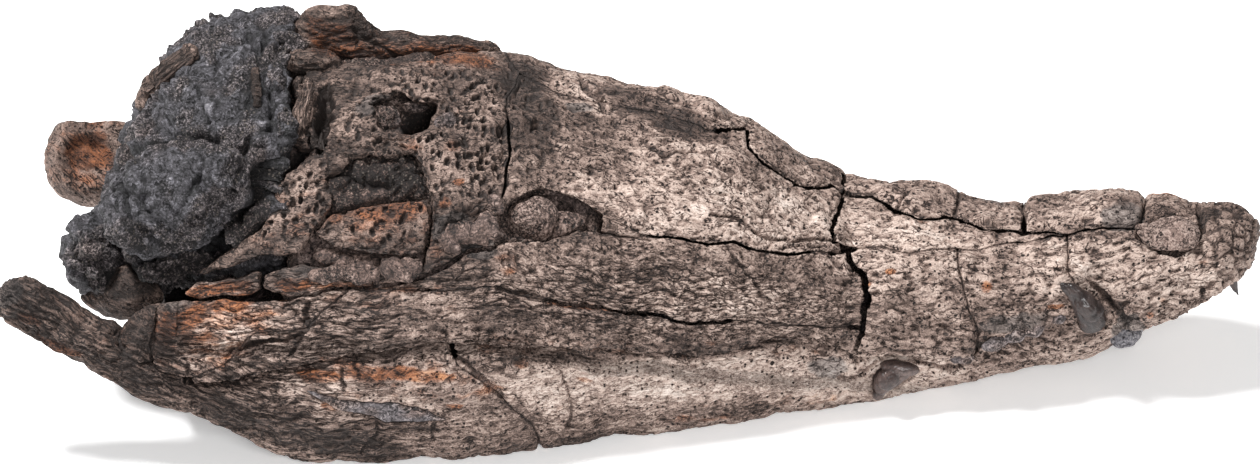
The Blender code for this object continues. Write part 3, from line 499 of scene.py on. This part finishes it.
def ellipsoids(shapes, tree):
    """One mesh of ellipsoids with their centres where the picture shows their places on the CAD."""
    right, up = Vector((1, 0, 0)), Vector((0, math.sin(TILT), math.cos(TILT)))
    near = right.cross(up)
    mass = bmesh.new()
    for x, h, length, height, thickness, slope in shapes:
        spot = tree.ray_cast(right * x + up * h + near * FAR, -near)[0]
        turn = Matrix((right, up, near)).transposed() @ Matrix.Rotation(math.radians(slope), 3, "Z")
        size = Vector((length, height, thickness))
        bmesh.ops.create_icosphere(mass, subdivisions=4, radius=1.0,
                                   matrix=Matrix.LocRotScale(spot * MM, turn, size * MM))
    mesh = bpy.data.meshes.new("mass")
    mass.to_mesh(mesh)
    mass.free()
    return mesh


def even_mesh(shape, spacing):
    """A closed mesh of a shape with evenly spaced vertices, and the welded shape."""
    cad = shape.copy()
    welded = bmesh.new()
    welded.from_mesh(cad)
    bmesh.ops.remove_doubles(welded, verts=welded.verts, dist=WELD)
    welded.to_mesh(cad)
    welded.free()
    source = new_object("source", cad)
    remesh = source.modifiers.new("even", "REMESH")
    remesh.mode = "VOXEL"
    remesh.voxel_size = spacing * MM
    worn = source.modifiers.new("worn", "SMOOTH")
    worn.factor, worn.iterations = 0.5, 4
    mesh = bpy.data.meshes.new_from_object(source.evaluated_get(bpy.context.evaluated_depsgraph_get()))
    bpy.data.objects.remove(source)
    return mesh, cad


def new_object(name, data):
    """An object in the scene."""
    thing = bpy.data.objects.new(name, data)
    bpy.context.scene.collection.objects.link(thing)
    return thing


def read(collection, name, width=3):
    """A mesh's numbers as an array."""
    values = np.empty(len(collection) * width, np.float32)
    collection.foreach_get(name, values)
    return values.reshape(-1, width).astype(float)


def rounding(points, cad):
    """The step from each point on the CAD's flat facets to the curved surface through their corners."""
    cad.shade_smooth()
    cad.set_sharp_from_angle(angle=SHARP)
    corners = read(cad.vertices, "co") / MM
    normals = read(cad.corner_normals, "vector").reshape(-1, 3, 3)
    faces = np.array([p.vertices[:] for p in cad.polygons])
    tree = BVHTree.FromPolygons(corners.tolist(), faces.tolist())
    nearest = np.fromiter((tree.find_nearest(p)[2] for p in points.tolist()), int, len(points))
    a, b, c = (corners[faces[nearest, i]] for i in range(3))
    u, v, w = b - a, c - a, points - a
    uu, uv, vv = (u * u).sum(1), (u * v).sum(1), (v * v).sum(1)
    wu, wv = (w * u).sum(1), (w * v).sum(1)
    area = np.maximum(uu * vv - uv * uv, TINY)
    second, third = (vv * wu - uv * wv) / area, (uu * wv - uv * wu) / area
    share = np.clip(np.stack([1 - second - third, second, third], axis=1), 0, 1)
    share /= share.sum(axis=1, keepdims=True)
    flat = share[:, :1] * a + share[:, 1:2] * b + share[:, 2:] * c
    step = np.zeros_like(points)
    for i, corner in enumerate((a, b, c)):
        direction = normals[nearest, i]
        step += share[:, i:i + 1] * ((corner - flat) * direction).sum(1, keepdims=True) * direction
    length = np.linalg.norm(step, axis=1, keepdims=True)
    return ROUNDING * step * np.minimum(1, MOST_ROUNDING / np.maximum(length, TINY))


def solid_tree(solids):
    """One search tree of some solids."""
    corners, faces, count = [], [], 0
    for vertices, triangles in solids.values():
        corners.append(vertices)
        faces.append(triangles + count)
        count += len(vertices)
    return BVHTree.FromPolygons(np.concatenate(corners).tolist(), np.concatenate(faces).tolist())


def seam_distance(points, name, solids):
    """How far each point is from the nearest other solid, up to REACH."""
    low, high = points.min(0) - REACH, points.max(0) + REACH
    tree = solid_tree({
        other: (corners, faces) for other, (corners, faces) in solids.items()
        if other != name and (corners.min(0) < high).all() and (corners.max(0) > low).all()})
    found = (tree.find_nearest(p, REACH)[3] for p in points.tolist())
    return np.fromiter((REACH if d is None else d for d in found), float, len(points))


# ---------------- sculpting

# Heights and the sizes of patterns are in millimetres here. The last number in a call of noise or
# cells shifts the pattern, so that it has nothing in common with the others.

def drift(points):
    """One smooth wandering of the whole skull, which keeps neighbours together."""
    shifts = (2.1, 5.7, 8.9)
    return 1.9 * stray(points, 22, shifts) + 0.8 * stray(points, 7, shifts)


def off_seams(height, seam, start, full):
    """A height that fades out at the seams: where it rises, from full to start away from them."""
    return height * np.where(height > 0, smooth(start, full, seam), smooth(0.4, 2.0, seam))


def closing(seam):
    """How far a surface steps out at a seam to close the CAD's gap."""
    return HALF_GAP * smooth(0.6, 0.35, seam)


def sculpt_bone(name, surface):
    """The height of each vertex over its CAD surface, how raised it is from 0 to 1 with painted shade in
    its cracks and seams, and its zones.
    """
    points, seam = surface.points, surface.seam
    grain = surface.grain()
    pitted = surface.painted(PITTED)
    streaked = surface.painted(STREAKED) * (1 - pitted)
    scaly = surface.painted(SCALY)
    plain = (1 - pitted) * (1 - streaked) * (1 - 0.8 * scaly)
    astray = 1.5 * stray(points, 6)
    bent = grain * (2.1, 1, 1) + astray

    # The patterns of the fine relief, each from 0 to 1 or so.
    rough = (1 - streaked) * (0.6 * noise(bent, 9.0) + 0.4 * noise(bent, 4.4))
    rough += streaked * noise(grain, 7.0)
    worms = groove(noise(bent, 5.4, 2.2) + 0.35 * noise(bent, 2.6, 4.9), 0.22)
    holes, _, chance = cells(bent, 3.9, 0.5)
    specks = smooth(0.4, 0.22, holes) * (chance > 0.3)
    wells, _, luck = cells(points * (1.25, 0.85, 0.85) + 0.8 * astray, 4.9, 0.9)
    pits = smooth(0.5, 0.3, wells) * smooth(0.0, 0.3, luck)
    rims = smooth(0.8, 0.55, wells) * smooth(0.0, 0.3, luck) * (1 - pits)
    fibres = groove(noise(grain, 3.4) + 0.4 * noise(grain, 1.6), 0.4)
    scale, beside, _ = cells(points + 0.6 * astray, 8.0, 0.3)
    scales = smooth(0.0, 0.24, beside - scale)

    # Each zone mixes them in its own way, into heights and into how raised the bone looks: paler on ridges
    # and rims, darker in grooves and pits, partly as weathering and partly as painted shade.
    fine = scaly * (1.8 * scales - 1.2 + 0.4 * rough) + plain * (0.6 * rough - 1.1 * worms - 1.2 * specks)
    fine += pitted * (1.4 * rough - 2.6 * pits + 0.7 * rims) + streaked * (1.0 * rough - 1.7 * fibres)
    relief = RELIEF.get(name, 1)
    raised_and_shaded = 0.16 * rough - scaly * 0.7 * (1 - scales) - plain * (0.45 * worms + 0.5 * specks)
    raised_and_shaded -= pitted * (1.0 * pits - 0.35 * rims) + streaked * 0.55 * fibres
    raised_and_shaded = 0.75 + relief * raised_and_shaded

    cracks = surface.lines(CRACKS)
    worn = surface.gaps()
    start, full = 0.6, 5.0
    swell = 1.2 * noise(points, 33) + 0.6 * noise(points, 12, 4.4) + surface.heaped(LUMPS, 0.3)
    swell = swell * SWELLING.get(name, 1) + STANDS_PROUD.get(name, 0) * smooth(start, full, seam)
    height = off_seams(swell, seam, start, full) + relief * fine * smooth(0.4, 1.6, seam)
    height += closing(seam) - worn - cracks

    # painted shade: the tone drops in the cracks, in the gaping seams and in a thin band along every seam
    raised_and_shaded -= smooth(0.2, 1.4, cracks) + smooth(0.3, 1.6, worn) + 0.5 * smooth(1.1, 0.4, seam)
    zones = [surface.painted(PALE), surface.painted(RUST), streaked, surface.painted(DARK)]
    return height, raised_and_shaded, zones, surface.painted(CRUSTED)


def sculpt_rock(name, surface):
    """The same for the rock round the bones, with painted shade in its grooves and hole. Its zones say how
    brown, rusty, rubbly and dark it is, with a painted shadow behind the dome.
    """
    points, seam = surface.points, surface.seam
    rough, brown, light, rubble = ROCKS[name]
    patch = smooth(-0.3, 0.35, noise(points, 26, 7.7) + 0.5 * noise(points, 9, 1.9))
    patch = np.maximum(patch, rubble)
    bent = points + 4 * stray(points, 14)
    first, second, luck = cells(bent, 13)
    blocks = smooth(0.0, 0.35, second - first)
    small, next_small, _ = cells(bent, 5.5, 3.1)
    granules = smooth(0.0, 0.4, next_small - small)
    grit = noise(points, 3.2, 2.5)
    lumps = 5.0 * noise(points, 30) + 3.0 * noise(bent, 12, 6.1)
    lumps += (0.2 + 1.1 * patch) * (1.2 * noise(points, 5, 2.5) + 0.7 * grit)
    lumps += 3.6 * (0.3 - np.abs(noise(bent, 15, 3.9))) + 1.8 * (0.3 - np.abs(noise(bent, 6.5, 8.1)))
    if name in RINGED:
        x, h = RINGED[name]
        radius = np.hypot(surface.x - x, surface.h - h) + 0.8 * noise(points, 6, 7.1)
        lumps += (2.2 + 0.16 * np.sin(radius * 2.9)) / rough
    lumps += surface.heaped(ROCK_LUMPS, 0.5) / rough
    crumbs = 2.4 * (blocks - 1) + (0.4 + 1.2 * patch) * (granules - 1) + 2.0 * (luck - 0.5)

    cut = surface.lines(GROOVES)
    if name == "rock_in_skull":
        cut += HOLE_DEPTH * surface.painted((HOLE,), 0.4)
    height = off_seams(rough * (lumps + crumbs), seam, 0.8, 2.8) + closing(seam) - cut
    # painted shade: the rock's tone drops in its grooves and in the hole of the skull table's rock
    raised_and_shaded = 0.35 + 0.4 * blocks * granules + 0.25 * grit - smooth(1.0, 6.0, cut) + light
    # the last zone darkens the rock where DARK is strong; behind the dome it is a painted shadow
    zones = [brown + 0.3 * smooth(0.2, 1.0, noise(points, 21, 5.5)), 0.4 * surface.painted(RUST),
             patch, smooth(0.55, 1.0, surface.painted(DARK))]
    return height, raised_and_shaded, zones, np.ones(len(points))


def sculpt_tooth(name, surface):
    """The same for a tooth: fine lines from root to tip, and small chips."""
    points = surface.points
    lines = groove(noise(tooth_grain(points), 1.6), 0.35)
    height = 0.5 * noise(points, 9) + 0.2 * noise(points, 3) - 0.2 * lines
    height -= 0.3 * smooth(1.2, 0.3, surface.seam)
    height *= smooth(0.0, 1.5, surface.seam)
    none = np.zeros(len(points))
    worn = none + (name in WORN_TEETH)
    return height, 1 - 0.5 * lines, [worn, none, lines, none], none


def tooth_grain(points):
    """Coordinates that run along a tooth, squeezed along its length."""
    middle = points.mean(0)
    axes = np.linalg.eigh(np.cov((points - middle).T))[1]
    return (points - middle) @ axes * (1, 1, TOOTH_SQUEEZE)


def taper(points):
    """Narrows a lump of tooth to a fang: its lower end leans back and is a quarter as wide."""
    low, high = points.min(0), points.max(0)
    down = (high[2] - points[:, 2]) / (high[2] - low[2])
    tapered = points.copy()
    tapered[:, 0] = low[0] + (points[:, 0] - low[0]) * (1.12 - 0.8 * down)
    return tapered


def make_node(name, node, solids, materials):
    """The piece that stands for one CAD node."""
    mesh, cad = even_mesh(node.data, SPACING.get(name, DEFAULT_SPACING))
    points = read(mesh.vertices, "co") / MM
    seam = seam_distance(points, name, solids)
    points = points + rounding(points, cad) * smooth(0.3, 3.0, seam)[:, None]
    if name == "tooth_lump_right":
        points = taper(points)
    piece = make_piece(name, node.data.materials[0].name.split(".")[0], mesh, points, seam, materials)
    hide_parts(name)
    bpy.data.meshes.remove(cad)


def make_mass(name, tree, materials):
    """A piece that the CAD leaves out."""
    slot, shapes = MASSES[name]
    mesh, whole = even_mesh(ellipsoids(shapes, tree), SPACING.get(name, DEFAULT_SPACING))
    points = read(mesh.vertices, "co") / MM
    make_piece(name, slot, mesh, points, np.full(len(points), REACH), materials)
    bpy.data.meshes.remove(whole)


def make_piece(name, slot, mesh, points, seam, materials):
    """Sculpts, paints and places a fine mesh."""
    mesh.vertices.foreach_set("co", (points * MM).ravel())
    mesh.update()
    surface = Surface(points, read(mesh.vertex_normals, "vector"), seam, GRAIN_SLOPES.get(name))
    sculpt = {"rock": sculpt_rock, "tooth": sculpt_tooth}.get(slot, sculpt_bone)
    height, raised_and_shaded, zones, crust = sculpt(name, surface)
    share = TOOTH_DRIFT if slot == "tooth" else 1
    placed = points + share * drift(points) + surface.normals * height[:, None]
    placed[:, 2] = np.maximum(placed[:, 2], 0.0)
    mesh.vertices.foreach_set("co", (placed * MM).ravel())
    mesh.shade_smooth()
    colours = np.stack([np.clip(z, 0, 1) for z in zones], axis=1)
    grain = tooth_grain(points) if slot == "tooth" else surface.grain()
    for kind, label, field, values in (("FLOAT_COLOR", "zones", "color", colours),
                                       ("FLOAT", "raised_and_shaded", "value", np.clip(raised_and_shaded, 0, 1)),
                                       ("FLOAT", "crust", "value", crust),
                                       ("FLOAT_VECTOR", "grain", "vector", grain)):
        attribute = mesh.attributes.new(label, kind, "POINT")
        attribute.data.foreach_set(field, np.asarray(values, np.float32).ravel())
    mesh.update()
    mesh.materials.clear()
    mesh.materials.append(materials[slot])
    piece = new_object(f"{name}_detail", mesh)
    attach(piece, "root")
    return piece


# ---------------- materials

# Colours as their 0 to 255 values on a screen, by tone from the grooves, where shade is painted too, up to
# the worn ridges.
BONE_TONES = ((0.0, (41, 33, 30)), (0.28, (87, 71, 64)), (0.5, (141, 120, 110)),
              (0.75, (198, 177, 165)), (1.0, (226, 211, 201)))
RUST_TONES = ((0.0, (46, 32, 27)), (0.3, (93, 58, 41)), (0.55, (151, 89, 49)), (0.85, (202, 141, 92)))
CRUST_TONES = ((0.0, (40, 36, 35)), (0.5, (96, 88, 85)), (1.0, (154, 146, 142)))
ROCK_TONES = ((0.0, (22, 21, 23)), (0.4, (68, 66, 70)), (0.75, (110, 108, 114)), (1.0, (158, 154, 156)))
BROWN_ROCK_TONES = ((0.0, (28, 21, 19)), (0.4, (82, 66, 60)), (0.75, (136, 114, 105)),
                    (1.0, (180, 158, 148)))
ROCK_GRAIN = (150, 138, 128)
FRESH_ENAMEL = ((36, 27, 26), (66, 54, 51))
WORN_ENAMEL = ((62, 49, 46), (104, 86, 81))
ENAMEL_LINE = (40, 31, 29)
PAPER = ((250, 250, 250), (253, 253, 253))


def srgb(red, green, blue):
    """A colour named by its 0 to 255 values on a screen."""
    linear = [v / 12.92 if v <= 0.04045 else ((v + 0.055) / 1.055) ** 2.4
              for v in (red / 255, green / 255, blue / 255)]
    return (*linear, 1.0)


class Shader:
    """A material, and short names for the nodes that lead up to it."""

    def __init__(self, name):
        self.material = bpy.data.materials.new(name)
        self.material.use_nodes = True
        self.tree = self.material.node_tree
        self.surface = self.tree.nodes["Principled BSDF"]
        where = self.add("ShaderNodeTexCoord").outputs["Object"]
        self.place = self.vector("SCALE", where, scale=1 / MM)
        self.grain = self.attribute("grain").outputs["Vector"]
        zones = self.attribute("zones")
        first_three = self.add("ShaderNodeSeparateColor", Color=zones.outputs["Color"])
        self.pale, self.rust, self.streaked = first_three.outputs[:3]
        self.dark = zones.outputs["Alpha"]
        self.raised_and_shaded = self.attribute("raised_and_shaded").outputs["Fac"]
        self.crust = self.attribute("crust").outputs["Fac"]

    def add(self, kind, **inputs):
        """A new node with some of its inputs filled."""
        node = self.tree.nodes.new(kind)
        for name, value in inputs.items():
            self.put(node.inputs[name], value)
        return node

    def put(self, socket, value):
        """Links a socket to another one, or gives it a value."""
        if isinstance(value, bpy.types.NodeSocket):
            self.tree.links.new(value, socket)
        else:
            socket.default_value = value

    def attribute(self, name):
        """What the mesh keeps under a name at each vertex."""
        node = self.add("ShaderNodeAttribute")
        node.attribute_name = name
        return node

    def vector(self, operation, *values, scale=None):
        """What a vector operation gives."""
        node = self.add("ShaderNodeVectorMath")
        node.operation = operation
        for socket, value in zip(node.inputs, values):
            self.put(socket, value)
        if scale is not None:
            node.inputs["Scale"].default_value = scale
        return node.outputs[0]

    def math(self, operation, *values):
        """What an operation on numbers gives."""
        node = self.add("ShaderNodeMath")
        node.operation = operation
        for socket, value in zip(node.inputs, values):
            self.put(socket, value)
        return node.outputs[0]

    def total(self, start, *terms):
        """start plus each value times its weight."""
        for value, weight in terms:
            start = self.math("MULTIPLY_ADD", value, weight, start)
        return start

    def ramp(self, value, tones):
        """The colour at value along some tones."""
        node = self.add("ShaderNodeValToRGB", Fac=value)
        elements = node.color_ramp.elements
        for element in list(elements)[1:]:
            elements.remove(element)
        elements[0].position, elements[0].color = tones[0][0], srgb(*tones[0][1])
        for position, colour in tones[1:]:
            elements.new(position).color = srgb(*colour)
        return node.outputs["Color"]

    def noise(self, where, size, detail=2.0, rough=0.5):
        """Smooth noise with features about size across: its value and its colour."""
        node = self.add("ShaderNodeTexNoise", Vector=where, Scale=1 / size, Detail=detail, Roughness=rough)
        return node.outputs["Fac"], node.outputs["Color"]

    def bend(self, where, size, by):
        """The place moved about by noise, so that patterns lose their regularity."""
        offset = self.vector("SUBTRACT", self.noise(where, size, 1.0)[1], (0.5, 0.5, 0.5))
        return self.vector("ADD", where, self.vector("SCALE", offset, scale=by))

    def band(self, value, low, high):
        """0 at low and 1 at high, with soft ends."""
        node = self.add("ShaderNodeMapRange")
        node.interpolation_type = "SMOOTHSTEP"
        rising = high > low
        for socket, number in (("Value", value), ("From Min", min(low, high)), ("From Max", max(low, high)),
                               ("To Min", float(not rising)), ("To Max", float(rising))):
            self.put(node.inputs[socket], number)
        return node.outputs["Result"]

    def lines(self, where, size, width, detail=2.0):
        """1 along the winding lines where noise passes its middle."""
        off = self.math("ABSOLUTE", self.math("SUBTRACT", self.noise(where, size, detail)[0], 0.5))
        return self.band(off, width, width * 0.15)

    def holes(self, where, size, radius, share):
        """1 in round holes, at a share of scattered points."""
        node = self.add("ShaderNodeTexVoronoi", Vector=where, Scale=1 / size)
        pick = self.add("ShaderNodeSeparateColor", Color=node.outputs["Color"]).outputs[0]
        inside = self.band(node.outputs["Distance"], radius, radius * 0.45)
        return self.times(inside, self.math("LESS_THAN", pick, share))

    def crackle(self, where, size, width):
        """1 in the grooves between scattered cells."""
        node = self.add("ShaderNodeTexVoronoi", Vector=where, Scale=1 / size)
        node.feature = "DISTANCE_TO_EDGE"
        return self.band(node.outputs["Distance"], width, width * 0.2)

    def mix(self, factor, a, b):
        """The colour a where factor is 0, and b where it is 1."""
        node = self.add("ShaderNodeMix")
        node.data_type = "RGBA"
        for socket, value in ((0, factor), (6, a), (7, b)):
            self.put(node.inputs[socket], value)
        return node.outputs[2]

    def blend(self, factor, a, b):
        """The same with numbers."""
        node = self.add("ShaderNodeMix")
        for socket, value in ((0, factor), (2, a), (3, b)):
            self.put(node.inputs[socket], value)
        return node.outputs[0]

    def times(self, a, b):
        """One value times another."""
        return self.math("MULTIPLY", a, b)

    def finish(self, colour, roughness, height, specular):
        """The material, once its surface has its colour, roughness, bumps in millimetres and gloss."""
        bump = self.add("ShaderNodeBump", Height=height, Distance=MM)
        self.put(self.surface.inputs["Base Color"], colour)
        self.put(self.surface.inputs["Roughness"], roughness)
        self.put(self.surface.inputs["Normal"], bump.outputs["Normal"])
        self.surface.inputs["Specular IOR Level"].default_value = specular
        return self.material


def bone(name, tone=0.0, rust=0.0):
    """Weathered fossil bone: pale where it is raised and worn, darker by steps down into its grooves and
    pits, partly as its weathering and partly as painted shade, and with painted shade in its cracks and
    seams.
    """
    s = Shader(name)
    along = s.times(s.streaked, 0.8)
    flow = s.bend(s.vector("MULTIPLY", s.grain, (2.5, 1.0, 1.0)), 5, 3.5)
    mottle = s.blend(along, s.noise(flow, 2.8, 4.0, 0.6)[0], s.noise(s.grain, 2.6, 4.0, 0.6)[0])
    grit, _ = s.noise(s.place, 0.9, 3.0, 0.7)
    broad, _ = s.noise(s.place, 38, 3.0)
    middle, _ = s.noise(s.place, 11, 3.0, 0.6)
    patches, _ = s.noise(flow, 10, 1.0)

    wrinkled = s.band(middle, 0.48, 0.62)
    wrinkles = s.times(s.crackle(flow, 3.4, 0.09), wrinkled)
    worms = s.lines(flow, 3.6, 0.022)
    holes = s.holes(s.bend(s.place, 4, 2), 2.9, 0.33, 0.3)
    pepper = s.times(s.holes(s.bend(flow, 3, 1), 1.45, 0.42, 0.5), s.blend(s.streaked, 1.0, 0.35))
    broken = s.times(s.math("MAXIMUM", wrinkles, worms), s.band(mottle, 0.66, 0.4))
    winding = s.math("MAXIMUM", broken, holes)
    sunk = s.blend(along, winding, s.lines(s.grain, 1.9, 0.06, 3.0))

    tones = s.total(tone - 0.76, (mottle, 0.22), (sunk, -0.5), (holes, -0.35), (pepper, -0.28),
                    (s.pale, 0.24), (s.dark, -0.48), (s.raised_and_shaded, 0.52), (broad, 0.5), (patches, 0.4),
                    (grit, 0.85))
    streaks, _ = s.noise(s.grain, 5, 3.0)
    stain = s.band(s.total(rust - 1.25, (s.rust, 1.0), (middle, 1.4), (streaks, 1.0)), 0.2, 0.95)
    colour = s.mix(s.times(stain, 0.9), s.ramp(tones, BONE_TONES), s.ramp(tones, RUST_TONES))
    crust = s.band(s.total(-0.5, (s.crust, 1.0), (middle, 1.0)), 0.25, 0.6)
    colour = s.mix(s.times(crust, 0.75), colour, s.ramp(tones, CRUST_TONES))
    height = s.total(0.0, (mottle, 1.6), (sunk, -0.9), (holes, -0.7), (pepper, -0.7), (grit, 0.7),
                     (middle, 1.0))
    return s.finish(colour, s.blend(sunk, 0.62, 0.85), height, 0.35)


def rock(name):
    """Dark grey rock with grit, pale grains and fine cracks, browner in the skull's openings."""
    s = Shader(name)
    place = s.bend(s.place, 7, 4)
    grit, _ = s.noise(s.place, 1.3, 4.0, 0.75)
    coarse, _ = s.noise(place, 5, 4.0, 0.65)
    grains = s.times(s.holes(place, 2.0, 0.4, 0.55), s.band(s.streaked, 0.35, 0.9))
    cracks = s.lines(place, 8, 0.02, 3.0)
    pits = s.holes(s.bend(s.place, 3, 2), 1.8, 0.42, 0.45)
    porous = s.band(s.noise(s.place, 24, 3.0)[0], 0.48, 0.62)
    pores = s.times(s.holes(place, 3.2, 0.4, 0.8), porous)
    gritty = s.times(s.math("SUBTRACT", grit, 0.5), s.blend(s.streaked, 2.0, 4.6))
    # the dark zone weighs heavily here, for the painted shadow in the hollow behind the dome
    tones = s.total(-0.54, (coarse, 1.05), (gritty, 1.0), (s.raised_and_shaded, 0.75), (cracks, -0.4), (pores, -0.6),
                    (s.dark, -1.2), (s.pale, 0.2), (s.times(pits, s.streaked), -0.7))
    browned = s.band(s.total(0.0, (s.pale, 1.0), (s.rust, 1.0), (s.streaked, 0.35)), 0.0, 1.0)
    colour = s.mix(browned, s.ramp(tones, ROCK_TONES), s.ramp(tones, BROWN_ROCK_TONES))
    colour = s.mix(s.times(grains, 0.38), colour, srgb(*ROCK_GRAIN))
    height = s.total(0.0, (gritty, 0.45), (coarse, 1.1), (cracks, -0.6), (pores, -1.2), (grains, 0.4),
                     (pits, -0.6))
    return s.finish(colour, s.blend(grit, 0.5, 0.8), height, 0.4)


def tooth(name):
    """Dark brown enamel, polished, with fine lines along the tooth and greyer worn places."""
    s = Shader(name)
    lines = s.lines(s.grain, 0.9, 0.09)
    cloud, _ = s.noise(s.place, 5, 3.0)
    clouded = s.band(cloud, 0.35, 0.65)
    fresh, worn = (s.mix(clouded, srgb(*a), srgb(*b)) for a, b in (FRESH_ENAMEL, WORN_ENAMEL))
    colour = s.mix(s.times(lines, 0.5), s.mix(s.pale, fresh, worn), srgb(*ENAMEL_LINE))
    height = s.total(0.0, (cloud, 0.5), (lines, -0.2))
    s.surface.inputs["Coat Weight"].default_value = 0.3
    s.surface.inputs["Coat Roughness"].default_value = 0.12
    return s.finish(colour, s.blend(cloud, 0.25, 0.45), height, 0.35)


def floor_material():
    """Matte white paper, lit a little from below as on a light table."""
    s = Shader("white_floor")
    cloud, _ = s.noise(s.place, 180, 2.0)
    colour = s.mix(cloud, *(srgb(*tone) for tone in PAPER))
    s.surface.inputs["Emission Color"].default_value = (1.0, 1.0, 1.0, 1.0)
    s.surface.inputs["Emission Strength"].default_value = 0.3
    return s.finish(colour, 0.9, s.times(s.noise(s.place, 2, 2.0)[0], 0.05), 0.1)


# ---------------- stage, light and camera

# Lengths are in metres here, and the lens and its sensor in millimetres.
CAMERA_LENS, SENSOR = 600.0, 36.0
CLIP_END = 100.0
VIEW_WIDTH = 0.700                       # across the picture, at the skull
AIM = Vector((-0.0003, 0.0, 0.0825))
FLOOR_HALF, FLOOR_DROP = 6.0, 0.0005     # the drop keeps the floor and the skull's flat foot apart
# The name, place, diameter and watts of each lamp.
LAMPS = (("key", (-0.9, 0.1, 2.1), 0.6, 86), ("fill", (0.4, -2.2, 1.5), 0.9, 31))
LIT = Vector((0, 0, 0.08))               # where the lamps point
WORLD_COLOUR, WORLD_STRENGTH = (1.0, 1.0, 1.0, 1.0), 0.25


def point_at(thing, target):
    """Turns a lamp or a camera towards a place."""
    thing.rotation_euler = (target - thing.location).to_track_quat("-Z", "Y").to_euler()


def make_stage():
    """The floor, the lamps, the world and the camera."""
    floor = bpy.data.meshes.new("floor")
    corners = [(x * FLOOR_HALF, y * FLOOR_HALF, 0) for x, y in ((-1, -1), (1, -1), (1, 1), (-1, 1))]
    floor.from_pydata(corners, [], [(0, 1, 2, 3)])
    floor.materials.append(floor_material())
    stage = new_object("floor", floor)
    stage.location.z = -FLOOR_DROP

    for label, place, size, power in LAMPS:
        lamp = bpy.data.lights.new(label, "AREA")
        lamp.shape, lamp.size, lamp.energy = "DISK", size, power
        light = new_object(label, lamp)
        light.location = place
        point_at(light, LIT)

    world = bpy.data.worlds.new("studio")
    world.use_nodes = True
    background = world.node_tree.nodes["Background"]
    background.inputs["Color"].default_value = WORLD_COLOUR
    background.inputs["Strength"].default_value = WORLD_STRENGTH
    bpy.context.scene.world = world
    bpy.context.scene.view_settings.view_transform = "Standard"

    camera = new_object("camera", bpy.data.cameras.new("camera"))
    camera.data.lens, camera.data.sensor_width, camera.data.clip_end = CAMERA_LENS, SENSOR, CLIP_END
    away = VIEW_WIDTH * CAMERA_LENS / SENSOR
    camera.location = AIM + away * Vector((0, -math.cos(TILT), math.sin(TILT)))
    point_at(camera, AIM)
    bpy.context.scene.camera = camera


def main():
    """Replaces every CAD node, adds what the CAD leaves out, and sets the stage."""
    for leftover in list(bpy.data.objects):
        bpy.data.objects.remove(leftover)
    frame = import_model()
    solids = {}
    for name, node in frame["nodes"].items():
        triangles = np.array([p.vertices[:] for p in node.data.polygons])
        solids[name] = (read(node.data.vertices, "co") / MM, triangles)
    materials = {
        "bone": bone("bone_fossil"),
        "dark_bone": bone("dark_bone_fossil", tone=-0.06),
        "rusty_bone": bone("rusty_bone_fossil", tone=-0.04, rust=0.1),
        "rock": rock("rock_matrix"),
        "tooth": tooth("tooth_enamel"),
    }
    for name, node in sorted(frame["nodes"].items()):
        make_node(name, node, solids, materials)
    tree = solid_tree(solids)
    for name in MASSES:
        make_mass(name, tree, materials)
    make_stage()


main()
